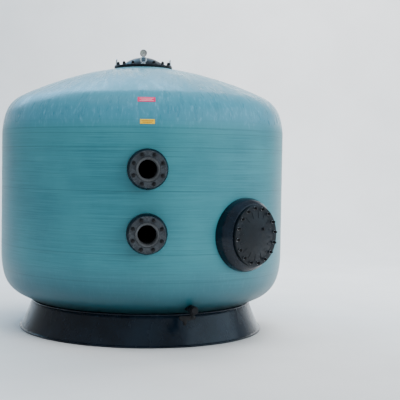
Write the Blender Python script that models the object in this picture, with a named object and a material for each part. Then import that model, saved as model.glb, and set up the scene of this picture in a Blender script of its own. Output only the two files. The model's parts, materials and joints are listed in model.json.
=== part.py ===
"""A large sand filter tank for a pool plant room, built piece by piece as it is put together.

A filament-wound vessel with two dished ends stands on a conical skirt. Its top opening has a bolted lid
with lifting eye nuts and a pressure gauge, its side has a bolted manhole and two flanged ports, and a
drain valve sits below. Inside are the inlet riser with its diffuser and the outlet's collector.
Metres, +Z up, the ports face -Y. Lengths named *_R are radii. The origin is on the floor, under the
middle of the object's box, so the vessel's axis stands a little behind it.
"""

from math import acos, cos, pi, radians, sin, tau

import bmesh
import bpy
from mathutils import Matrix, Vector

GAP = 0.0003  # between pieces that touch

# Vessel: a cylinder with the same dished end at both sides of MIDDLE_Z
VESSEL_R = 1.250
WALL = 0.014
MIDDLE_Z = 1.177
HALF_STRAIGHT = 0.513
SOFT_R, SOFT_TURN = 0.700, radians(15.5)
KNUCKLE_R = 0.260
CROWN_R, CROWN_SLOPE = 2.930, radians(25.9)
POLE_R = 0.2575  # opening in the top end; the bottom end is closed by a flat plate of this radius
VESSEL_STEPS = 40
COVER_STEPS = 24  # round the lid, the manhole and their seats
PORT_STEPS = 16
GAUGE_STEPS = 16

# Skirt under the vessel
SKIRT_TOP_R = 0.970
SKIRT_FOOT_R = 1.066
SKIRT_LIP_R = 1.086
SKIRT_WALL = 0.012

# Top opening, lid and gauge
NECK_BORE_R = 0.200
NECK_R = 0.256
NECK_FLANGE_R = 0.300
LID_SEAT_Z = 2.310
SEAL_T = 0.003
LID_R = 0.260
LID_T = 0.021
LID_DOME_R = 0.195
LID_DOME_RISE = 0.080
LID_SHELL = 0.012
LID_BOLT_CIRCLE = 0.2395
M16_R = 0.008
FASTENERS = 16
HEX_TURN = radians(11)
EYE_BASE_R, EYE_BASE_H = 0.018, 0.013
EYE_RING_R, EYE_WIRE_R, EYE_CENTRE = 0.0245, 0.007, 0.031
WASHER_T = 0.002
LID_CAP = (0.0135, 0.029)  # radius and height of the caps over the bolt heads
PORT_CAP_R = 0.0165
MANHOLE_CAP = (0.0120, 0.027)
GAUGE_Z = 2.450
GAUGE_FORWARD = 0.004
GAUGE_R = 0.0295
GAUGE_BEZEL_R = 0.0315
GAUGE_THREAD_R = 0.0066

# Ports (DN 150, bolt circle 240 mm): distances are from the vessel's axis
PORT_TURN = radians(2.0)
INLET_Z, OUTLET_Z = 1.422, 0.924
PORT_BORE_R = 0.0825
PORT_NECK_R = 0.100
PORT_PAD_R = 0.160
PORT_FLANGE_R = 0.1425
PORT_BOLT_CIRCLE = 0.120
PORT_BOLTS = 8
M20_R = 0.010
PORT_SEAT = 1.318
PORT_FACE = 1.3625
PORT_TIP = 1.3845  # the tips of the bolt caps, the part's foremost points
STUB_BORE_R, STUB_STOP_R = 0.080, 0.074
STUB_R, STUB_SHOULDER_R, STUB_SHOULDER_T = 0.092, 0.106, 0.016
STUB_PROUD = 0.004

# Side manhole
MANHOLE_TURN = radians(41.7)
MANHOLE_Z = 0.903
MANHOLE_BORE_R = 0.200
MANHOLE_NECK_R = 0.230
MANHOLE_PAD_R = 0.300
MANHOLE_SEAT = 1.352
MANHOLE_COVER_R = 0.245
MANHOLE_COVER_T = 0.020
MANHOLE_BULGE = 0.018
MANHOLE_BOLT_CIRCLE = 0.219
MANHOLE_BOLT_TURN = radians(6)
M12_R = 0.006

# Drain valve
DRAIN_TURN = radians(20.5)
DRAIN_Z = 0.318
DRAIN_BALL = 1.180
SPIGOT_R, SPIGOT_BORE_R = 0.025, 0.020
VALVE_R = 0.0315
BALL_R = 0.0165
BALL_BORE_R = 0.0105
STEM_R = 0.005

# Pipework inside
PIPE_R, PIPE_BORE_R = 0.080, 0.0725
ELBOW_R, ELBOW_BEND_R = 0.0903, 0.140
ELBOW_STRAIGHT = 0.060
RISER_TOP_Z = 1.900
DIFFUSER_R, DIFFUSER_TOP_Z = 0.150, 1.980
HUB_R, HUB_LOW_Z, HUB_HIGH_Z = 0.112, 0.270, 0.480
LATERALS = 8
LATERAL_R, LATERAL_BORE_R, LATERAL_Z, LATERAL_REACH = 0.025, 0.021, 0.335, 0.860

AXIS_Y = (PORT_TIP - VESSEL_R) / 2


# ---- materials -------------------------------------------------------------------------------------

def material(name, colour, roughness, metallic=0.0):
    """The named finish; pieces of one finish share it."""
    made = bpy.data.materials.get(name) or bpy.data.materials.new(name)
    made.use_nodes = True
    shader = made.node_tree.nodes["Principled BSDF"]
    shader.inputs["Base Color"].default_value = (*colour, 1.0)
    shader.inputs["Roughness"].default_value = roughness
    shader.inputs["Metallic"].default_value = metallic
    return made


def wound_laminate():
    return material("wound_laminate", (0.075, 0.265, 0.300), 0.35)


def neck_laminate():
    return material("neck_laminate", (0.250, 0.480, 0.560), 0.40)


def black_gelcoat():
    return material("black_gelcoat", (0.012, 0.016, 0.022), 0.18)


def moulded_black():
    return material("moulded_black", (0.016, 0.019, 0.024), 0.32)


def port_plastic():
    return material("port_plastic", (0.020, 0.024, 0.028), 0.22)


def grey_pvc():
    return material("grey_pvc", (0.110, 0.120, 0.130), 0.38)


def seal_rubber():
    return material("seal_rubber", (0.014, 0.014, 0.014), 0.75)


def cap_plastic():
    return material("cap_plastic", (0.010, 0.010, 0.012), 0.40)


def stainless():
    return material("stainless", (0.620, 0.630, 0.640), 0.28, metallic=1.0)


def brass():
    return material("brass", (0.640, 0.460, 0.180), 0.30, metallic=1.0)


def gauge_glass():
    return material("gauge_glass", (0.850, 0.880, 0.900), 0.05)


def dial_white():
    return material("dial_white", (0.800, 0.800, 0.780), 0.50)


def pointer_black():
    return material("pointer_black", (0.012, 0.012, 0.012), 0.45)


# ---- shape helpers ---------------------------------------------------------------------------------

def turned(outline, steps):
    """A bmesh turned about Z from (radius, z) points: a ring, or a solid that starts and ends at radius 0."""
    shape = bmesh.new()
    points = [shape.verts.new((radius, 0.0, z)) for radius, z in outline]
    pairs = list(zip(points, points[1:]))
    if outline[0][0] > 0:
        pairs.append((points[-1], points[0]))
    edges = [shape.edges.new(pair) for pair in pairs]
    bmesh.ops.spin(shape, geom=points + edges, cent=(0, 0, 0), axis=(0, 0, 1), angle=tau,
                   steps=steps, use_merge=True)
    bmesh.ops.remove_doubles(shape, verts=shape.verts, dist=1e-6)
    bmesh.ops.recalc_face_normals(shape, faces=shape.faces)
    return shape


def rod(radius, low, high, sides):
    """A plain cylinder about Z."""
    return turned([(0, low), (radius, low), (radius, high), (0, high)], sides)


def flat_ring(inner, outer, low, high):
    """The outline of a plain ring."""
    return [(inner, low), (outer, low), (outer, high), (inner, high)]


def prism(outline, half_width):
    """An outline of (x, z) points, given half_width of thickness on both sides of the XZ plane."""
    shape = bmesh.new()
    face = shape.faces.new([shape.verts.new((x, -half_width, z)) for x, z in outline])
    grown = bmesh.ops.extrude_face_region(shape, geom=[face])["geom"]
    far_side = [part for part in grown if isinstance(part, bmesh.types.BMVert)]
    bmesh.ops.translate(shape, vec=(0, 2 * half_width, 0), verts=far_side)
    bmesh.ops.recalc_face_normals(shape, faces=shape.faces)
    return shape


def swept_tube(path, radius, bore_radius, sides):
    """A tube with an open bore along a flat path in the XZ plane."""
    shape = bmesh.new()
    rings = []
    for index, point in enumerate(path):
        before = path[max(index - 1, 0)]
        after = path[min(index + 1, len(path) - 1)]
        along = (after - before).normalized()
        across = Vector((along.z, 0, -along.x))
        sideways = Vector((0, 1, 0))
        turns = [tau * k / sides for k in range(sides)]
        for size in (radius, bore_radius):
            rings.append([
                shape.verts.new(point + size * (cos(turn) * across + sin(turn) * sideways)) for turn in turns
            ])
    outer, inner = rings[0::2], rings[1::2]
    ends = [(outer[0], inner[0]), (outer[-1], inner[-1])]
    walls = list(zip(outer, outer[1:])) + list(zip(inner, inner[1:])) + ends
    for first, second in walls:
        for k in range(sides):
            following = (k + 1) % sides
            shape.faces.new((first[k], first[following], second[following], second[k]))
    bmesh.ops.recalc_face_normals(shape, faces=shape.faces)
    return shape


def repeated(piece, matrices):
    """One bmesh that holds a copy of the piece under each matrix."""
    whole = bmesh.new()
    single = bpy.data.meshes.new("single")
    piece.to_mesh(single)
    for matrix in matrices:
        start = len(whole.verts)
        whole.from_mesh(single)
        whole.verts.ensure_lookup_table()
        bmesh.ops.transform(whole, matrix=matrix, verts=whole.verts[start:])
    bpy.data.meshes.remove(single)
    piece.free()
    return whole


def bolt_places(circle, count, skipped=()):
    """Matrices round a bolt circle, the first place at -Y; each turns its six-sided shank by HEX_TURN."""
    return [
        Matrix.Translation((circle * sin(tau * k / count), -circle * cos(tau * k / count), 0))
        @ Matrix.Rotation(HEX_TURN, 4, "Z")
        for k in range(count)
        if k not in skipped
    ]


def add_object(name, shape, parent, finish, location=(0, 0, 0), rotation=(0, 0, 0)):
    mesh = bpy.data.meshes.new(name)
    shape.to_mesh(mesh)
    shape.free()
    mesh.shade_smooth()
    mesh.set_sharp_from_angle(angle=radians(35))
    made = bpy.data.objects.new(name, mesh)
    bpy.context.scene.collection.objects.link(made)
    made.parent = parent
    made.location = location
    made.rotation_euler = rotation
    if finish:
        mesh.materials.append(finish)
    return made


def add_tool(name, shape, parent, location=(0, 0, 0), rotation=(0, 0, 0)):
    """A shape that only cuts or extends another object."""
    tool = add_object(name, shape, parent, None, location, rotation)
    tool.hide_render = True
    tool.display_type = "WIRE"
    return tool


def combine(target, tool, operation):
    step = target.modifiers.new(tool.name, "BOOLEAN")
    step.operation = operation
    step.object = tool
    step.solver = "EXACT"


def cut(target, tool):
    combine(target, tool, "DIFFERENCE")


def join(target, tool):
    combine(target, tool, "UNION")


def add_empty(name, parent, location, rotation=(0, 0, 0)):
    made = bpy.data.objects.new(name, None)
    bpy.context.scene.collection.objects.link(made)
    made.parent = parent
    made.location = location
    made.rotation_euler = rotation
    return made


def outward_axis(name, parent, height, turn):
    """An empty on the vessel's axis whose Z points out of the wall, turned from -Y towards +X."""
    return add_empty(name, parent, (0, 0, height), (pi / 2, 0, turn))


# ---- vessel and skirt ------------------------------------------------------------------------------

def end_outline(inset, soft_steps, knuckle_steps, crown_steps):
    """(radius, height over the cylinder's end) points of a dished end, from the rim to the pole opening."""
    crown_turn = pi / 2 - CROWN_SLOPE
    soft_centre = Vector((VESSEL_R - SOFT_R, 0))
    knuckle_centre = soft_centre + (SOFT_R - KNUCKLE_R) * Vector((cos(SOFT_TURN), sin(SOFT_TURN)))
    crown_centre = knuckle_centre + (KNUCKLE_R - CROWN_R) * Vector((cos(crown_turn), sin(crown_turn)))
    pole_turn = acos((POLE_R - crown_centre.x) / (CROWN_R - inset))
    arcs = (
        (soft_centre, SOFT_R, 0.0, SOFT_TURN, soft_steps),
        (knuckle_centre, KNUCKLE_R, SOFT_TURN, crown_turn, knuckle_steps),
        (crown_centre, CROWN_R, crown_turn, pole_turn, crown_steps),
    )
    points = [(VESSEL_R - inset, 0.0)]
    for centre, radius, start, end, steps in arcs:
        for step in range(1, steps + 1):
            turn = start + (end - start) * step / steps
            point = centre + (radius - inset) * Vector((cos(turn), sin(turn)))
            points.append((point.x, point.y))
    return points


def upper_end(inset=0.0, steps=(2, 3, 3)):
    return [(radius, MIDDLE_Z + HALF_STRAIGHT + rise) for radius, rise in end_outline(inset, *steps)]


def lower_end(inset=0.0, steps=(2, 3, 3)):
    return [(radius, MIDDLE_Z - HALF_STRAIGHT - rise) for radius, rise in end_outline(inset, *steps)]


INNER_STEPS = (1, 2, 2)


def height_on(outline, radius):
    """The z of an outline at this radius; the outline's radii fall from first to last."""
    for (r_out, z_out), (r_in, z_in) in zip(outline, outline[1:]):
        if r_in <= radius <= r_out:
            return z_out + (z_in - z_out) * (r_out - radius) / (r_out - r_in)
    raise ValueError(radius)


def build_vessel(axis, port_axes, manhole_axis, drain_axis):
    bottom, top = lower_end(), upper_end()
    bottom_inside, top_inside = lower_end(WALL, INNER_STEPS), upper_end(WALL, INNER_STEPS)
    outline = (
        [(0, bottom[-1][1])] + bottom[::-1] + top
        + top_inside[::-1] + bottom_inside + [(0, bottom_inside[-1][1])]
    )
    shell = add_object("vessel_shell", turned(outline, VESSEL_STEPS), axis, wound_laminate())
    for name, port_axis in port_axes.items():
        hole = rod(PORT_NECK_R + GAP, 1.10, 1.30, PORT_STEPS)
        cut(shell, add_tool(f"{name}_hole", hole, port_axis))
    cut(shell, add_tool("manhole_hole", rod(MANHOLE_NECK_R + GAP, 1.10, 1.30, COVER_STEPS), manhole_axis))
    cut(shell, add_tool("drain_hole", rod(SPIGOT_R + GAP, 0.95, 1.20, 10), drain_axis))


def build_skirt(axis):
    bottom = lower_end()
    top_inner_r = SKIRT_TOP_R - SKIRT_WALL
    outline = [
        (SKIRT_LIP_R, 0.0),
        (SKIRT_LIP_R, 0.010),
        (SKIRT_FOOT_R, 0.018),
        (SKIRT_TOP_R, height_on(bottom, SKIRT_TOP_R) - GAP),
        (top_inner_r, height_on(bottom, top_inner_r) - GAP),
        (SKIRT_FOOT_R - SKIRT_WALL, 0.0),
    ]
    add_object("base_skirt", turned(outline, VESSEL_STEPS), axis, black_gelcoat())


# ---- fasteners -------------------------------------------------------------------------------------

def capped_bolt(shank_r, shank_end, face, cap_r, cap_h, sides):
    """A bolt with a rounded cap over its head: the shank runs down from the face to shank_end."""
    return turned([
        (0, shank_end),
        (shank_r, shank_end),
        (shank_r, face),
        (cap_r, face),
        (0.85 * cap_r, face + 0.75 * cap_h),
        (0, face + cap_h),
    ], sides)


def build_bolt_ring(name, axis, face, circle, count, shank_r, shank_end, cap, skipped=()):
    """A bolt circle's bolts, held together by the thin washer ring under their heads."""
    cap_r, cap_h = cap
    low, high = face + GAP, face + GAP + WASHER_T
    band = 0.8 * cap_r
    outline = [(circle - band, low), (circle + band, low), (circle + band, high), (circle - band, high)]
    ring = add_object(name, turned(outline, COVER_STEPS), axis, cap_plastic())
    bolt = capped_bolt(shank_r, shank_end, low + WASHER_T / 2, cap_r, cap_h, 6)
    join(ring, add_tool(f"{name}_set", repeated(bolt, bolt_places(circle, count, skipped)), axis))
    return ring


def bolt_holes(name, axis, circle, count, shank_r, low, high):
    hole = rod(shank_r + 2 * GAP, low, high, 6)
    return add_tool(name, repeated(hole, bolt_places(circle, count)), axis)


# ---- top opening -----------------------------------------------------------------------------------

def build_top_neck(axis):
    inside = upper_end(WALL, INNER_STEPS)
    clearance = 0.001
    seal_low = LID_SEAT_Z - GAP - SEAL_T
    neck_top = seal_low - GAP
    neck_low = height_on(inside, NECK_FLANGE_R) - 0.016
    outline = [
        (NECK_BORE_R, neck_low),
        (NECK_FLANGE_R, neck_low),
        (NECK_FLANGE_R, height_on(inside, NECK_FLANGE_R) - clearance),
        (NECK_R, height_on(inside, POLE_R) - clearance),
        (NECK_R, neck_top),
        (NECK_BORE_R, neck_top),
    ]
    neck = add_object("top_neck", turned(outline, COVER_STEPS), axis, neck_laminate())
    hole_end = neck_low + 0.006
    cut(neck, bolt_holes("top_neck_holes", axis, LID_BOLT_CIRCLE, FASTENERS, M16_R, hole_end, LID_SEAT_Z))
    seal = turned(flat_ring(0.203, 0.228, seal_low, seal_low + SEAL_T), COVER_STEPS)
    add_object("top_lid_seal", seal, axis, seal_rubber())
    return hole_end + 0.002


def dome_arc(base_r, base_z, rise, end_r, steps):
    """Points of a shallow dome from its rim in to end_r."""
    sphere_r = (base_r ** 2 + rise ** 2) / (2 * rise)
    centre_z = base_z + rise - sphere_r
    points = []
    for step in range(steps + 1):
        radius = base_r + (end_r - base_r) * step / steps
        points.append((radius, centre_z + (sphere_r ** 2 - radius ** 2) ** 0.5))
    return points


def build_top_lid(axis, shank_end):
    face = LID_SEAT_Z + LID_T
    bore = GAUGE_THREAD_R + GAP
    outside = dome_arc(LID_DOME_R, face, LID_DOME_RISE, bore, 5)
    inner_r, inner_low = LID_DOME_R - LID_SHELL, LID_SEAT_Z + 0.008
    inside = dome_arc(inner_r, inner_low, face + LID_DOME_RISE - LID_SHELL - inner_low, bore, 4)
    chamfer = 0.003
    rim = [
        (inner_r, LID_SEAT_Z), (LID_R - chamfer, LID_SEAT_Z), (LID_R, LID_SEAT_Z + chamfer),
        (LID_R, face - chamfer), (LID_R - chamfer, face),
    ]
    lid = add_object("top_lid", turned(rim + outside + inside[::-1], COVER_STEPS), axis, moulded_black())
    low, high = LID_SEAT_Z - 0.02, face + 0.02
    cut(lid, bolt_holes("top_lid_holes", axis, LID_BOLT_CIRCLE, FASTENERS, M16_R, low, high))
    eyes = range(0, FASTENERS, FASTENERS // 4)
    bolts = build_bolt_ring("top_lid_bolts", axis, face, LID_BOLT_CIRCLE, FASTENERS, M16_R, shank_end, LID_CAP,
                            skipped=eyes)
    hole = rod(M16_R + 2 * GAP, face - 0.01, face + 0.02, 6)
    eye_places = bolt_places(LID_BOLT_CIRCLE, 4)
    cut(bolts, add_tool("lifting_eye_holes", repeated(hole, eye_places), axis))
    eye_finish = stainless()
    seat = face + WASHER_T + 2 * GAP
    for number, place in enumerate(eye_places):
        location = (place.translation.x, place.translation.y, seat)
        build_lifting_eye(f"lifting_eye_{number + 1}", axis, location, number * pi / 2, shank_end, eye_finish)


def build_lifting_eye(name, axis, location, turn, shank_end, finish):
    """An eye nut on its stud; the ring stands square to the radius."""
    seat = location[2]
    stem = turned([
        (0, shank_end - seat),
        (M16_R, shank_end - seat),
        (M16_R, 0),
        (EYE_BASE_R, 0),
        (EYE_BASE_R, 0.6 * EYE_BASE_H),
        (0.7 * EYE_BASE_R, EYE_BASE_H),
        (0, EYE_BASE_H),
    ], 6)
    eye = add_object(name, stem, axis, finish, location, (0, 0, HEX_TURN))
    wire = turned([
        (EYE_RING_R + EYE_WIRE_R * cos(tau * k / 6), EYE_WIRE_R * sin(tau * k / 6)) for k in range(6)
    ], 12)
    bmesh.ops.transform(wire, matrix=Matrix.Translation((0, 0, EYE_CENTRE)) @ Matrix.Rotation(pi / 2, 4, "X"),
                        verts=wire.verts)
    join(eye, add_tool(f"{name}_ring", wire, axis, location, (0, 0, turn)))


# ---- pressure gauge --------------------------------------------------------------------------------

def build_gauge(axis, gauge_axis):
    """The gauge faces -Y; along gauge_axis, 0 is the middle of its case and + is forward."""
    steel, white = stainless(), dial_white()
    case_outline = [
        (0, -0.0140), (GAUGE_R, -0.0140), (GAUGE_R, 0.0100), (GAUGE_R - 0.0013, 0.0100),
        (GAUGE_R - 0.0013, -0.0125), (0, -0.0125),
    ]
    case = add_object("gauge_case", turned(case_outline, GAUGE_STEPS), gauge_axis, steel)
    inlet = rod(0.0070, 0.0, 0.05, 8)
    cut(case, add_tool("gauge_case_hole", inlet, gauge_axis, (0, 0, -GAUGE_FORWARD), (pi / 2, 0, 0)))
    bezel_outline = [
        (GAUGE_R + GAP, 0.0040), (GAUGE_BEZEL_R, 0.0040), (GAUGE_BEZEL_R, 0.0135), (0.0300, 0.0150),
        (0.0262, 0.0150), (0.0262, 0.0125), (GAUGE_R + GAP, 0.0125),
    ]
    add_object("gauge_bezel", turned(bezel_outline, GAUGE_STEPS), gauge_axis, steel)
    lens_outline = [(0, 0.0103), (0.0292, 0.0103), (0.0292, 0.0122), (0, 0.0122)]
    add_object("gauge_lens", turned(lens_outline, GAUGE_STEPS), gauge_axis, gauge_glass())
    dial_outline = [(0.0020, 0.0042), (0.0275, 0.0042), (0.0275, 0.0048), (0.0020, 0.0048)]
    add_object("gauge_dial", turned(dial_outline, GAUGE_STEPS), gauge_axis, white)
    build_gauge_pointer(gauge_axis)
    build_gauge_socket(axis)
    build_bourdon_tube(gauge_axis)


def build_gauge_pointer(gauge_axis):
    """The pointer rests at the scale's start, 135 degrees anticlockwise from the top."""
    start = (0, 0, radians(135))
    arbor = turned([
        (0, 0.0010), (0.0012, 0.0010), (0.0012, 0.0062), (0.0030, 0.0062), (0.0030, 0.0080), (0, 0.0080),
    ], 8)
    pointer = add_object("gauge_pointer", arbor, gauge_axis, pointer_black(), rotation=start)
    blade = prism([(-0.0018, -0.0070), (0.0018, -0.0070), (0.0004, 0.0215), (-0.0004, 0.0215)], 0.0004)
    bmesh.ops.transform(blade, matrix=Matrix.Translation((0, 0, 0.0071)) @ Matrix.Rotation(-pi / 2, 4, "X"),
                        verts=blade.verts)
    join(pointer, add_tool("gauge_blade", blade, gauge_axis, rotation=start))


def build_gauge_socket(axis):
    """The gauge's threaded connection, screwed into the lid's crown."""
    crown = LID_SEAT_Z + LID_T + LID_DOME_RISE
    collar_r, collar_top = 0.0105, crown + 0.0045
    neck_r, top = 0.0065, GAUGE_Z - 0.0140
    outline = [
        (0, crown - 0.018), (GAUGE_THREAD_R, crown - 0.018), (GAUGE_THREAD_R, crown + GAP),
        (collar_r, crown + GAP), (collar_r, collar_top), (neck_r, collar_top), (neck_r, top), (0, top),
    ]
    add_object("gauge_socket", turned(outline, 8), axis, brass())


def build_bourdon_tube(gauge_axis):
    """The curved tube that straightens under pressure, from the socket's side round behind the dial."""
    bend_r, steps = 0.0200, 8
    path = [Vector((bend_r * cos(turn), 0, bend_r * sin(turn)))
            for turn in (radians(-50 + 230 * step / steps) for step in range(steps + 1))]
    tube = swept_tube(path, 0.0030, 0.0018, 6)
    add_object("gauge_bourdon_tube", tube, gauge_axis, brass(), (0, 0, -GAUGE_FORWARD), (-pi / 2, 0, 0))


# ---- ports -----------------------------------------------------------------------------------------

def padded_nozzle(name, axis, outline, neck_outline, finish, steps):
    """A moulded pad that follows the vessel's wall, with the neck that passes through it."""
    nozzle = add_object(name, turned(outline, steps), axis, finish)
    wall = rod(VESSEL_R + GAP, -0.5, 0.5, 2 * VESSEL_STEPS)
    cut(nozzle, add_tool(f"{name}_seat", wall, axis.parent, (0, 0, axis.location.z)))
    join(nozzle, add_tool(f"{name}_neck", turned(neck_outline, steps), axis))
    return nozzle


def build_port(name, axis):
    """A port's nozzle, gasket, stub, loose flange and bolts; z is the distance from the vessel's axis."""
    neck_outline = flat_ring(PORT_BORE_R, PORT_NECK_R, 1.200, PORT_SEAT - 0.0005)
    pad_bore, pad_low = 0.090, 1.215
    pad_outline = [
        (pad_bore, pad_low), (PORT_PAD_R + 0.004, pad_low), (PORT_PAD_R, 1.2875), (0.148, 1.308),
        (PORT_FLANGE_R, PORT_SEAT), (pad_bore, PORT_SEAT),
    ]
    nozzle = padded_nozzle(f"{name}_nozzle", axis, pad_outline, neck_outline, black_gelcoat(), PORT_STEPS)
    bolt_axis = add_empty(f"{name}_bolt_axis", axis, (0, 0, 0), (0, 0, pi / PORT_BOLTS))
    stud_end = PORT_SEAT - 0.026
    cut(nozzle, bolt_holes(f"{name}_nozzle_holes", bolt_axis, PORT_BOLT_CIRCLE, PORT_BOLTS, M20_R,
                           stud_end - 0.002, PORT_SEAT + 0.012))

    gasket_low = PORT_SEAT + GAP
    gasket_high = gasket_low + SEAL_T
    gasket = turned(flat_ring(PORT_BORE_R + 0.001, STUB_SHOULDER_R, gasket_low, gasket_high), PORT_STEPS)
    add_object(f"{name}_gasket", gasket, axis, seal_rubber())

    shoulder_low = gasket_high + GAP
    shoulder_high = shoulder_low + STUB_SHOULDER_T
    tip = PORT_FACE + STUB_PROUD
    add_object(f"{name}_stub", turned([
        (STUB_STOP_R, shoulder_low), (STUB_SHOULDER_R, shoulder_low), (STUB_SHOULDER_R, shoulder_high),
        (STUB_R, shoulder_high), (STUB_R, tip), (STUB_BORE_R, tip), (STUB_BORE_R, shoulder_high),
        (STUB_STOP_R, shoulder_high),
    ], PORT_STEPS), axis, grey_pvc())

    back, bore, chamfer = shoulder_high + GAP, STUB_R + 0.0025, 0.002
    flange = add_object(f"{name}_flange", turned([
        (bore, back), (PORT_FLANGE_R, back), (PORT_FLANGE_R, PORT_FACE - chamfer),
        (PORT_FLANGE_R - chamfer, PORT_FACE), (bore, PORT_FACE),
    ], PORT_STEPS), axis, port_plastic())
    cut(flange, bolt_holes(f"{name}_flange_holes", bolt_axis, PORT_BOLT_CIRCLE, PORT_BOLTS, M20_R,
                           back - 0.01, PORT_FACE + 0.01))
    cap = (PORT_CAP_R, PORT_TIP - PORT_FACE - GAP - WASHER_T / 2)
    build_bolt_ring(f"{name}_bolts", bolt_axis, PORT_FACE, PORT_BOLT_CIRCLE, PORT_BOLTS, M20_R, stud_end, cap)


# ---- side manhole ----------------------------------------------------------------------------------

def build_manhole(axis):
    """The manhole's neck, seal, cover, plug and bolts; z is the distance from the vessel's axis."""
    neck_outline = flat_ring(MANHOLE_BORE_R, MANHOLE_NECK_R, 1.180, MANHOLE_SEAT - 0.0005)
    pad_bore, pad_low = 0.208, 1.150
    pad_outline = [
        (pad_bore, pad_low), (MANHOLE_PAD_R + 0.006, pad_low), (MANHOLE_PAD_R, 1.2875), (0.280, 1.325),
        (0.252, MANHOLE_SEAT), (pad_bore, MANHOLE_SEAT),
    ]
    neck = padded_nozzle("manhole_neck", axis, pad_outline, neck_outline, black_gelcoat(), COVER_STEPS)
    bolt_axis = add_empty("manhole_bolt_axis", axis, (0, 0, 0), (0, 0, MANHOLE_BOLT_TURN))
    shank_end = MANHOLE_SEAT - 0.028
    cut(neck, bolt_holes("manhole_neck_holes", bolt_axis, MANHOLE_BOLT_CIRCLE, FASTENERS, M12_R,
                         shank_end - 0.002, MANHOLE_SEAT + 0.018))

    seal_low = MANHOLE_SEAT + GAP
    seal_high = seal_low + SEAL_T
    seal = turned(flat_ring(0.203, 0.211, seal_low, seal_high), COVER_STEPS)
    add_object("manhole_seal", seal, axis, seal_rubber())

    seat, chamfer = seal_high + GAP, 0.003
    face = seat + MANHOLE_COVER_T
    cover = add_object("manhole_cover", turned([
        (0, face + MANHOLE_BULGE), (0.062, face + 0.9 * MANHOLE_BULGE), (0.135, face + 0.5 * MANHOLE_BULGE),
        (0.196, face), (MANHOLE_COVER_R - chamfer, face), (MANHOLE_COVER_R, face - chamfer),
        (MANHOLE_COVER_R, seat), (0.190, seat), (0.120, seat + 0.6 * MANHOLE_BULGE), (0, seat + MANHOLE_BULGE),
    ], COVER_STEPS), axis, moulded_black())
    cut(cover, bolt_holes("manhole_cover_holes", bolt_axis, MANHOLE_BOLT_CIRCLE, FASTENERS, M12_R,
                          seat - 0.01, face + 0.01))
    build_bolt_ring("manhole_bolts", bolt_axis, face, MANHOLE_BOLT_CIRCLE, FASTENERS, M12_R, shank_end,
                    MANHOLE_CAP)

    plug_place, shank_r, head_r = (0.066, 0.053, 0), 0.0066, 0.0110
    crown = face + 0.9 * MANHOLE_BULGE
    cut(cover, add_tool("manhole_plug_hole", rod(shank_r + 0.0004, seat, face + 0.03, 8), axis, plug_place))
    add_object("manhole_plug", turned([
        (0, seat + 0.008), (shank_r, seat + 0.008), (shank_r, crown + 0.002), (head_r, crown + 0.002),
        (head_r, crown + 0.008), (0, crown + 0.010),
    ], 8), axis, cap_plastic(), plug_place)


# ---- drain valve -----------------------------------------------------------------------------------

def build_drain(axis, stem_axis):
    """A ball valve. On axis, z is the distance from the vessel's axis; on stem_axis, it runs down."""
    plastic = moulded_black()
    socket, shoulder, tip = DRAIN_BALL - 0.030, DRAIN_BALL + 0.026, DRAIN_BALL + 0.042
    spigot_end = socket + 0.0130
    spigot = turned(flat_ring(SPIGOT_BORE_R, SPIGOT_R, 1.000, spigot_end), 10)
    add_object("drain_spigot", spigot, axis, plastic)

    seat, socket_r, outlet_r, throat_r = spigot_end + GAP, SPIGOT_R + 2 * GAP, 0.0240, 0.0115
    chamber_r, chamber_low, chamber_high = BALL_R + 0.0006, DRAIN_BALL - 0.016, DRAIN_BALL + 0.016
    body = add_object("drain_valve_body", turned([
        (socket_r, socket), (VALVE_R, socket), (VALVE_R, shoulder), (outlet_r, shoulder), (outlet_r, tip),
        (throat_r, tip), (throat_r, chamber_high), (chamber_r, chamber_high),
        (chamber_r, chamber_low), (throat_r, chamber_low), (throat_r, seat), (socket_r, seat),
    ], 16), axis, plastic)
    join(body, add_tool("drain_bonnet", rod(0.0140, 0.0250, 0.0360, 10), stem_axis))
    cut(body, add_tool("drain_stem_hole", rod(STEM_R + 0.0008, 0.0100, 0.0500, 8), stem_axis))

    ball = add_object("drain_ball", turned([
        (BALL_R * sin(pi * k / 6), -BALL_R * cos(pi * k / 6)) for k in range(7)
    ], 12), stem_axis, stainless())
    bore = rod(BALL_BORE_R, -0.03, 0.03, 8)
    cut(ball, add_tool("drain_ball_bore", bore, stem_axis, rotation=(0, pi / 2, 0)))
    cut(ball, add_tool("drain_ball_slot", rod(STEM_R + 2 * GAP, 0.0130, 0.0300, 8), stem_axis))
    add_object("drain_stem", rod(STEM_R, 0.0135, 0.0560, 8), stem_axis, stainless())

    handle = add_object("drain_handle", prism([
        (0.024, 0.050), (0.027, 0.068), (0.016, 0.082), (0.010, 0.074), (-0.050, 0.090), (-0.056, 0.124),
        (-0.072, 0.124), (-0.076, 0.092), (-0.105, 0.078), (-0.122, 0.056), (-0.112, 0.042), (0, 0.044),
    ], 0.0095), stem_axis, cap_plastic())
    join(handle, add_tool("drain_hub", rod(0.0160, 0.0365, 0.0660, 10), stem_axis))
    cut(handle, add_tool("drain_hub_hole", rod(STEM_R + 2 * GAP, 0.0300, 0.0570, 8), stem_axis))

    rim, floor, end = shoulder + GAP, tip + GAP, tip + 0.0080
    cap_r, cap_bore, chamfer = 0.0305, outlet_r + 0.0012, 0.003
    add_object("drain_cap", turned([
        (0, end), (cap_r - chamfer, end), (cap_r, end - chamfer), (cap_r, rim),
        (cap_bore, rim), (cap_bore, floor), (0, floor),
    ], 12), axis, cap_plastic())


# ---- pipework inside -------------------------------------------------------------------------------

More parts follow.
